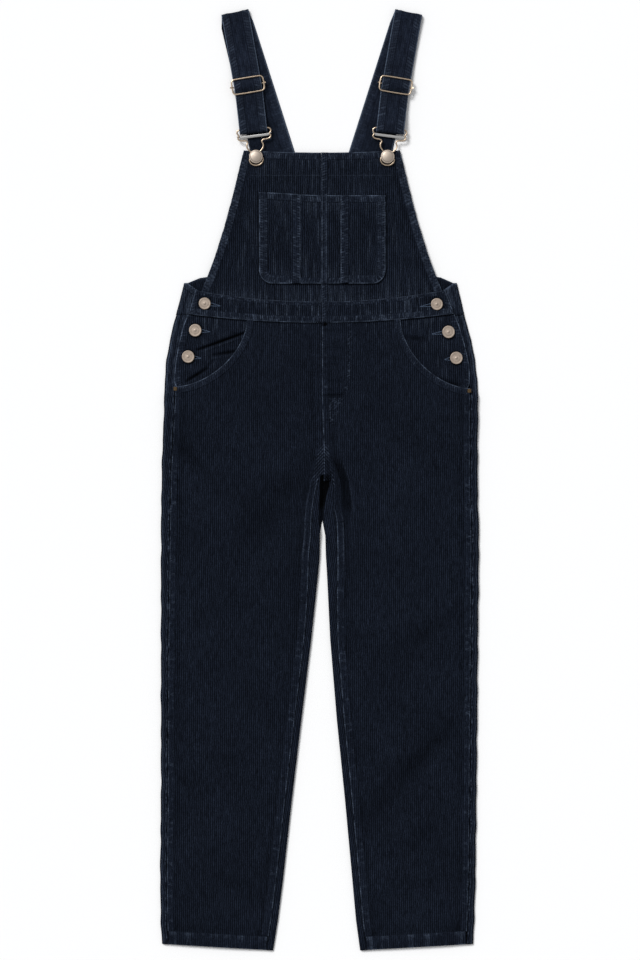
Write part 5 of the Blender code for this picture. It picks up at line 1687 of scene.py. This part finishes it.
def bib_button(side):
    """A button on a short shank, whose domed head holds the buckle's loop down."""
    shank, base, rim = 3.2, 3.7 + 0.5 + GAP, BIB_BUTTON_RADIUS
    head = BUCKLE_LEVEL + WIRE + GAP
    dome = [(rim * share, head + 1.75 + 1.5 * (1 - share ** 2)) for share in (0.8, 0.65, 0.5, 0.35, 0.18)]
    profile = [(0.0, base), (shank, base), (shank, head), (rim - 1.2, head), (rim - 0.3, head + 0.25),
               (rim, head + 0.8), (rim - 0.25, head + 1.45), (rim - 0.9, head + 1.8),
               (rim - 1.5, head + 1.75), *dome, (0.0, head + 3.3)]
    x = CENTRE + outward(side) * BIB_BUTTON_X
    thing = turned_head(f"bib_button_{side}_bronze", profile, x, BIB_BUTTON_HEIGHT)
    dress(thing, [f"bib_button_{side}"], pale_bronze())


def side_button(button):
    """A button with a raised rim, a ring and a centre dot, on the waistband or on the placket."""
    on_band = button.height > sag(WAIST_BOTTOM, button.x)
    shank, base = 4.2, (WAISTBAND_TOP - 0.5 if on_band else HIP_TOP) + GAP
    head, rim = base + 0.9, button.radius
    profile = [(0.0, base), (shank, base), (shank, head), (rim - 1.0, head), (rim - 0.2, head + 0.3),
               (rim, head + 0.8), (rim - 0.15, head + 1.25), (rim - 0.5, head + 1.5),
               (rim - 1.0, head + 1.52), (rim - 1.6, head + 1.35), (rim * 0.68, head + 1.38),
               (rim * 0.66, head + 1.15), (rim * 0.60, head + 1.15), (rim * 0.58, head + 1.42),
               (rim * 0.3, head + 1.5), (1.5, head + 1.52), (1.2, head + 1.8), (0.7, head + 1.95),
               (0.0, head + 1.98)]
    dress(turned_head(f"{button.name}_bronze", profile, button.x, button.height), [button.name],
          bronze())


# ---------------------------------------------------------------- fly, buttonholes and tacks

def sew_on(level, line, lift=0.1):
    """A row of stitches along a line of x and height, lying on a surface."""
    fine = eased(line, 0.5, 5)
    sew(np.column_stack([fine, level(fine[:, 0], fine[:, 1]) + lift]))


FLY_ROWS = [[(14.0, 763.5), (29.0, 763.5)], [(14.0, 759.5), (29.0, 759.5)],
            [(29.7, 750.7), (27.0, 741.0), (20.8, 726.0)], [(33.7, 749.7), (31.0, 740.0), (24.8, 725.0)]]


def fly_stitching():
    """The double row that marks the fly, curving down to the centre seam, and the rows under it."""
    level = front_level("right")
    for inset in (0.0, 4.6):
        sew_on(level, [(43.5 - inset, 868), (43.5 - inset, 846), (42.1 - inset, 799), (39.6 - inset, 780),
                       (35.9 - inset, 770 + inset * 0.3), (30.0 - inset, 764.6 + inset * 0.3)])
    for line in FLY_ROWS:
        sew_on(level, line)


def buttonhole(button, level):
    """Close stitches along both sides of the slit, which meet at its far end."""
    end = np.array([button.hole_end_x, button.hole_end_height])
    start = np.array([button.x, button.height])
    along = (end - start) / np.linalg.norm(end - start)
    across = np.array([-along[1], along[0]])
    visible = np.linalg.norm(end - start) - button.radius
    stitches = []
    for back in np.arange(0.0, visible + 1.0, 0.6):
        for hand in (-1, 1):
            root = end - along * back + across * hand * (0.15 + 1.9 * min(1.0, back / visible))
            places = np.array([root + across * hand * reach for reach in (-0.45, -0.15, 0.2, 0.5)])
            z = level(places[:, 0], places[:, 1]) + [0.2, 0.5, 0.5, 0.2]
            stitches.append(np.column_stack([places, z]))
    return stitches


def bartack(x, height, level):
    """A close zigzag of thread that locks the pocket's corner."""
    stitches = []
    for row in np.arange(-2.2, 2.3, 0.55):
        places = np.array([(x - 2.6, height + row), (x - 0.9, height + row + 0.1), (x + 0.9, height + row),
                           (x + 2.6, height + row + 0.2)])
        stitches.append(np.column_stack([places, level(places[:, 0], places[:, 1]) + [0.9, 1.15, 1.15, 0.9]]))
    return stitches


POCKET_TACKS = {"left": (-198.6, 774.2), "right": (206.3, 771.4)}


def topstitching():
    """Every row of stitches, the buttonholes and the tacks at the pocket corners."""
    fly_stitching()
    cloth = settings()[0]
    lines = [stitch for line in ROWS_OF_STITCHES for stitch in row_stitches(line)]
    holes, tacks = [], []
    for button in SIDE_BUTTONS:
        on_band = button.height > sag(WAIST_BOTTOM, button.x)
        holes += buttonhole(button, waistband_level if on_band else hip_level(button.name.split("_")[2]))
    for side, place in POCKET_TACKS.items():
        tacks += bartack(*place, front_level(side))
    for name, stitches, radius, material in (
            ("topstitching", lines, cloth.thread_radius, thread("Topstitching thread", cloth.thread)),
            ("buttonholes", holes, HOLE_THREAD, thread("Buttonhole thread", cloth.buttonhole)),
            ("pocket_tacks", tacks, TACK_THREAD, thread("Tack thread", cloth.bartack))):
        dress(thread_curve(name, stitches, radius), [], material)


# ---------------------------------------------------------------- materials

def add(tree, kind, values=(), **settings_of):
    """Adds a node, sets its properties, and fills its sockets with constants, with other nodes'
    sockets, or with the first output of other nodes."""
    node = tree.nodes.new(kind)
    for name, value in settings_of.items():
        setattr(node, name, value)
    for socket, value in dict(values).items():
        if isinstance(value, bpy.types.Node):
            value = value.outputs[0]
        if isinstance(value, bpy.types.NodeSocket):
            tree.links.new(value, node.inputs[socket])
        else:
            node.inputs[socket].default_value = value
    return node


def new_material(name, colour, **values):
    """A named material with its shader's constants set on the shader itself."""
    material = bpy.data.materials.new(name)
    material.use_nodes = True
    shader = material.node_tree.nodes["Principled BSDF"]
    shader.inputs["Base Color"].default_value = (*colour, 1.0)
    for socket, value in values.items():
        shader.inputs[socket].default_value = value
    return material, material.node_tree, shader


def finish_shader(tree, shader, colour, height, strength, distance):
    """Links a colour to a shader, and a relief of some metres in height."""
    bump = add(tree, "ShaderNodeBump", {"Height": height, "Strength": strength, "Distance": distance})
    tree.links.new(colour, shader.inputs["Base Color"])
    tree.links.new(bump.outputs[0], shader.inputs["Normal"])


def corduroy():
    """Cut-pile cotton corduroy, dyed navy: matt cords that catch light along their flanks, dark grooves
    in the ground's colour with painted shade, single cords whose pile lies flat and looks paler as
    a painted sheen, and dye worn off raised edges. Its wear attribute also paints shade below 0 and
    highlights above 0."""
    found = bpy.data.materials.get("Cotton corduroy")
    if found:
        return found
    cloth = settings()[0]
    material, tree, shader = new_material("Cotton corduroy", cloth.pile, **{
        "Roughness": 0.92, "Specular IOR Level": 0.03, "Sheen Weight": 0.03, "Sheen Roughness": 0.4,
        "Sheen Tint": (0.50, 0.62, 0.85, 1.0)})
    grain = add(tree, "ShaderNodeUVMap", uv_map="grain")
    parts = add(tree, "ShaderNodeSeparateXYZ", {0: grain})
    phase = add(tree, "ShaderNodeMath", {0: parts, 1: cloth.wale_pitch}, operation="DIVIDE")
    place = add(tree, "ShaderNodeTexCoord").outputs["Object"]
    # The cords waver by up to a sixth of their pitch, over lengths of about 6 mm.
    wander = add(tree, "ShaderNodeTexNoise", {"Vector": place, "Scale": 170.0, "Detail": 2.0})
    aside = add(tree, "ShaderNodeMapRange", {0: wander, 1: 0.3, 2: 0.7, 3: -0.17, 4: 0.17})
    moved = add(tree, "ShaderNodeMath", {0: phase, 1: aside}, operation="ADD")
    turn = add(tree, "ShaderNodeMath", {0: moved, 1: 2 * pi}, operation="MULTIPLY")
    wave = add(tree, "ShaderNodeMath", {0: turn}, operation="COSINE")
    valley = add(tree, "ShaderNodeMapRange", {0: wave, 1: -0.1, 2: 1.0, 3: 0.0, 4: 1.0})
    # A pale cord keeps its look over 5 to 60 mm: one unit of the noise is 14 mm along it.
    cord = add(tree, "ShaderNodeMath", {0: phase}, operation="FLOOR")
    cord_x = add(tree, "ShaderNodeMath", {0: cord, 1: 3.37}, operation="MULTIPLY")
    cord_y = add(tree, "ShaderNodeMath", {0: parts.outputs[1], 1: 70.0}, operation="MULTIPLY")
    along_cord = add(tree, "ShaderNodeCombineXYZ", {0: cord_x, 1: cord_y})
    lying = add(tree, "ShaderNodeTexNoise", {"Vector": along_cord, "Scale": 1.0, "Detail": 3.0,
                                             "Roughness": 0.62})
    streak = add(tree, "ShaderNodeMapRange", {0: lying, 1: 0.25, 2: 0.75, 3: 0.0, 4: 1.0})
    # Patches of 30 to 80 mm where the pile was pressed, and specks of single tufts, about 1.5 mm.
    patches = add(tree, "ShaderNodeTexNoise", {"Vector": place, "Scale": 14.0, "Detail": 1.0})
    patch = add(tree, "ShaderNodeMapRange", {0: patches, 1: 0.34, 2: 0.66, 3: 0.7, 4: 1.0})
    tufts = add(tree, "ShaderNodeTexNoise", {"Vector": place, "Scale": 650.0, "Detail": 3.0})
    tuft = add(tree, "ShaderNodeMapRange", {0: tufts, 1: 0.3, 2: 0.7, 3: 0.62, 4: 1.38})
    pale = add(tree, "ShaderNodeMath", {0: streak, 1: patch}, operation="MULTIPLY")
    lit = add(tree, "ShaderNodeMix", {0: pale, 6: (*cloth.pile, 1.0), 7: (*cloth.streak, 1.0)},
              data_type="RGBA")
    # The grooves take the groove colour, the ground's own colour with painted shade in the recesses; cords
    # sets how strongly.
    shown = add(tree, "ShaderNodeAttribute", attribute_name="cords").outputs["Fac"]
    groove = add(tree, "ShaderNodeMath", {0: valley, 1: shown}, operation="MULTIPLY")
    grooved = add(tree, "ShaderNodeMix", {0: groove, 6: lit.outputs[2], 7: (*cloth.groove, 1.0)},
                  data_type="RGBA")
    # The wear attribute is real wear and painted light: above 0 it blends towards the worn colour, as wear
    # and as painted highlights; below 0 it darkens the colour as painted shade.
    wear = add(tree, "ShaderNodeAttribute", attribute_name="wear").outputs["Fac"]
    rubbed_and_lit = add(tree, "ShaderNodeMath", {0: wear, 1: tuft}, operation="MULTIPLY", use_clamp=True)
    worn_and_lit = add(tree, "ShaderNodeMix", {0: rubbed_and_lit, 6: grooved.outputs[2], 7: (*cloth.worn_and_lit, 1.0)},
               data_type="RGBA")
    shade = add(tree, "ShaderNodeMapRange", {0: wear, 1: -1.0, 2: 0.0, 3: 0.06, 4: 1.0})
    speckled = add(tree, "ShaderNodeMath", {0: shade, 1: tuft}, operation="MULTIPLY")
    final = add(tree, "ShaderNodeVectorMath", {0: worn_and_lit.outputs[2], "Scale": speckled}, operation="SCALE")
    relief = add(tree, "ShaderNodeMath", {0: tufts, 1: wave}, operation="SUBTRACT")
    finish_shader(tree, shader, final.outputs[0], relief, 0.5, 0.00022)
    return material


def thread(name, colour):
    """Twisted cotton thread: matt, with the twist's fine diagonal shading."""
    material, tree, shader = new_material(name, colour, **{"Roughness": 0.85, "Specular IOR Level": 0.05})
    place = add(tree, "ShaderNodeTexCoord").outputs["Object"]
    # The real twist repeats about every 0.9 mm, too fine to show. It is drawn 2 to 3.5 mm apart.
    twist = add(tree, "ShaderNodeTexWave", {"Vector": place, "Scale": 180.0, "Distortion": 2.0},
                bands_direction="DIAGONAL").outputs["Fac"]
    shade = add(tree, "ShaderNodeMapRange", {0: twist, 3: 0.7, 4: 1.15})
    toned = add(tree, "ShaderNodeVectorMath", {0: colour, "Scale": shade}, operation="SCALE")
    finish_shader(tree, shader, toned.outputs[0], twist, 0.4, 0.0001)
    return material


def tarnished(name, colour, dark, roughness, specks):
    """A plated metal: its tone varies in soft clouds, and it is darker where it was handled less."""
    found = bpy.data.materials.get(name)
    if found:
        return found
    material, tree, shader = new_material(name, colour, Metallic=1.0, Roughness=roughness)
    # Clouds of about 4 mm, and grit of about half a millimetre.
    place = add(tree, "ShaderNodeTexCoord").outputs["Object"]
    clouds = add(tree, "ShaderNodeTexNoise", {"Vector": place, "Scale": 260.0, "Detail": 4.0})
    share = add(tree, "ShaderNodeMapRange", {0: clouds, 1: 0.35, 2: 0.7, 3: 0.0, 4: 0.75})
    browner = (*(dark * channel for channel in colour), 1.0)
    tone = add(tree, "ShaderNodeMix", {0: share, 6: (*colour, 1.0), 7: browner}, data_type="RGBA")
    polish = add(tree, "ShaderNodeMapRange", {0: clouds, 3: roughness - 0.1, 4: roughness + 0.15})
    tree.links.new(polish.outputs[0], shader.inputs["Roughness"])
    grit = add(tree, "ShaderNodeTexNoise", {"Vector": place, "Scale": specks, "Detail": 2.0})
    finish_shader(tree, shader, tone.outputs[2], grit, 0.25, 0.00008)
    return material


def brass():
    """Bent wire with a light antique brass plating: satin, with browner patches."""
    return tarnished("Antique brass wire", settings()[1].wire, 0.55, 0.32, 1800.0)


def nickel():
    """A pressed flat bar, nickel plated and lightly brushed: pale grey, with a soft shine."""
    return tarnished("Brushed nickel bar", settings()[1].plate, 0.75, 0.28, 2600.0)


def bronze():
    """A pressed button head with a matt, pale antique bronze plating."""
    return tarnished("Pale bronze button", settings()[1].button, 0.75, 0.62, 2200.0)


def pale_bronze():
    """A domed button head with the same plating, paler and smoother."""
    return tarnished("Pale bronze dome", settings()[1].dome, 0.85, 0.5, 2200.0)


# ---------------------------------------------------------------- stage

KEY_PLACE = (-1.1, 1.25, 1.75)     # the key light shines from here, up on the left
SENSOR = 36.0                      # millimetres, as the lens
VIEW_CENTRE = (0.0007, -0.0014)
FLOOR_DROP = 0.0004                # the floor lies this much below the garment's plane


def stage():
    """A matt floor that shows soft shadows only, one broad light with soft light from all round,
    and a camera straight above."""
    look, scene = settings()[2], bpy.context.scene
    bm = bmesh.new()
    bmesh.ops.create_grid(bm, x_segments=1, y_segments=1, size=20.0)
    bmesh.ops.translate(bm, verts=bm.verts[:], vec=(0.0, 0.0, -FLOOR_DROP))
    floor = placed("floor", mesh_from(bm, "floor"))
    floor.data.materials.append(new_material("Matt white paint", look.floor, Roughness=0.9)[0])

    world = bpy.data.worlds.new("Studio")
    world.use_nodes = True
    background = world.node_tree.nodes["Background"]
    background.inputs[0].default_value = (0.97, 0.98, 1.0, 1.0)
    background.inputs[1].default_value = look.ambient
    scene.world = world
    scene.view_settings.view_transform = "Standard"

    light = bpy.data.lights.new("key", "SUN")
    light.energy = look.light
    light.angle = radians(24)
    lamp = placed("key", light)
    lamp.location = KEY_PLACE
    lamp.rotation_euler = (-Vector(KEY_PLACE)).to_track_quat("-Z", "Y").to_euler()

    lens = bpy.data.cameras.new("camera")
    lens.lens = look.lens
    lens.sensor_width = SENSOR
    scene.camera = placed("camera", lens)
    scene.camera.location = (*VIEW_CENTRE, look.view_length * look.lens / SENSOR)


# ---------------------------------------------------------------- operators

class OVERALLS_OT_stage(bpy.types.Operator):
    """Floor, light and camera"""
    bl_idname = "overalls.stage"
    bl_label = "Stage"

    def execute(self, context):
        stage()
        return {"FINISHED"}


class OVERALLS_OT_legs(bpy.types.Operator):
    """The fronts and backs of both legs"""
    bl_idname = "overalls.legs"
    bl_label = "Legs"

    def execute(self, context):
        for side in SIDES:
            back_leg(side)
            front_leg(side)
        return {"FINISHED"}


class OVERALLS_OT_waist(bpy.types.Operator):
    """The hip panels behind the scooped pockets and the waistbands"""
    bl_idname = "overalls.waist"
    bl_label = "Hips and Waist"

    def execute(self, context):
        back_waistband()
        for side in SIDES:
            hip_panel(side)
            front_waistband(side)
        return {"FINISHED"}


class OVERALLS_OT_bib(bpy.types.Operator):
    """The bib, its pocket and the back bib"""
    bl_idname = "overalls.bib"
    bl_label = "Bib"

    def execute(self, context):
        back_bib()
        for side in SIDES:
            bib(side)
        for side in POCKET_PANELS:
            pocket_panel(side)
        return {"FINISHED"}


class OVERALLS_OT_straps(bpy.types.Operator):
    """The straps with their buckles and sliders"""
    bl_idname = "overalls.straps"
    bl_label = "Straps"

    def execute(self, context):
        for side in SIDES:
            strap(side)
            buckle(side)
            slider(side)
        return {"FINISHED"}


class OVERALLS_OT_buttons(bpy.types.Operator):
    """The bib buttons and the side buttons"""
    bl_idname = "overalls.buttons"
    bl_label = "Buttons"

    def execute(self, context):
        for side in SIDES:
            bib_button(side)
        for button in SIDE_BUTTONS:
            side_button(button)
        return {"FINISHED"}


class OVERALLS_OT_thread(bpy.types.Operator):
    """Topstitching, buttonholes and pocket tacks. Run after the cloth pieces"""
    bl_idname = "overalls.thread"
    bl_label = "Thread"

    def execute(self, context):
        topstitching()
        return {"FINISHED"}


OPERATORS = (OVERALLS_OT_stage, OVERALLS_OT_legs, OVERALLS_OT_waist, OVERALLS_OT_bib, OVERALLS_OT_straps,
             OVERALLS_OT_buttons, OVERALLS_OT_thread)


class OVERALLS_PT_panel(bpy.types.Panel):
    """Sizes, colours and the pieces to make"""
    bl_label = "Overalls"
    bl_idname = "OVERALLS_PT_panel"
    bl_space_type = "VIEW_3D"
    bl_region_type = "UI"
    bl_category = "Overalls"

    def draw(self, context):
        for group in settings():
            for name in group.bl_rna.properties.keys():
                if name not in ("rna_type", "name"):
                    self.layout.prop(group, name)
        for operator in OPERATORS:
            self.layout.operator(operator.bl_idname)


CLASSES = (OverallsCloth, OverallsMetal, OverallsStage) + OPERATORS + (OVERALLS_PT_panel,)


def register():
    for each in CLASSES:
        bpy.utils.register_class(each)
    bpy.types.Scene.overalls_cloth = PointerProperty(type=OverallsCloth)
    bpy.types.Scene.overalls_metal = PointerProperty(type=OverallsMetal)
    bpy.types.Scene.overalls_stage = PointerProperty(type=OverallsStage)


def unregister():
    del bpy.types.Scene.overalls_cloth, bpy.types.Scene.overalls_metal, bpy.types.Scene.overalls_stage
    for each in reversed(CLASSES):
        bpy.utils.unregister_class(each)


def main():
    register()
    for operator in OPERATORS:
        getattr(bpy.ops.overalls, operator.bl_idname.split(".")[1])()


if __name__ == "__main__":
    main()
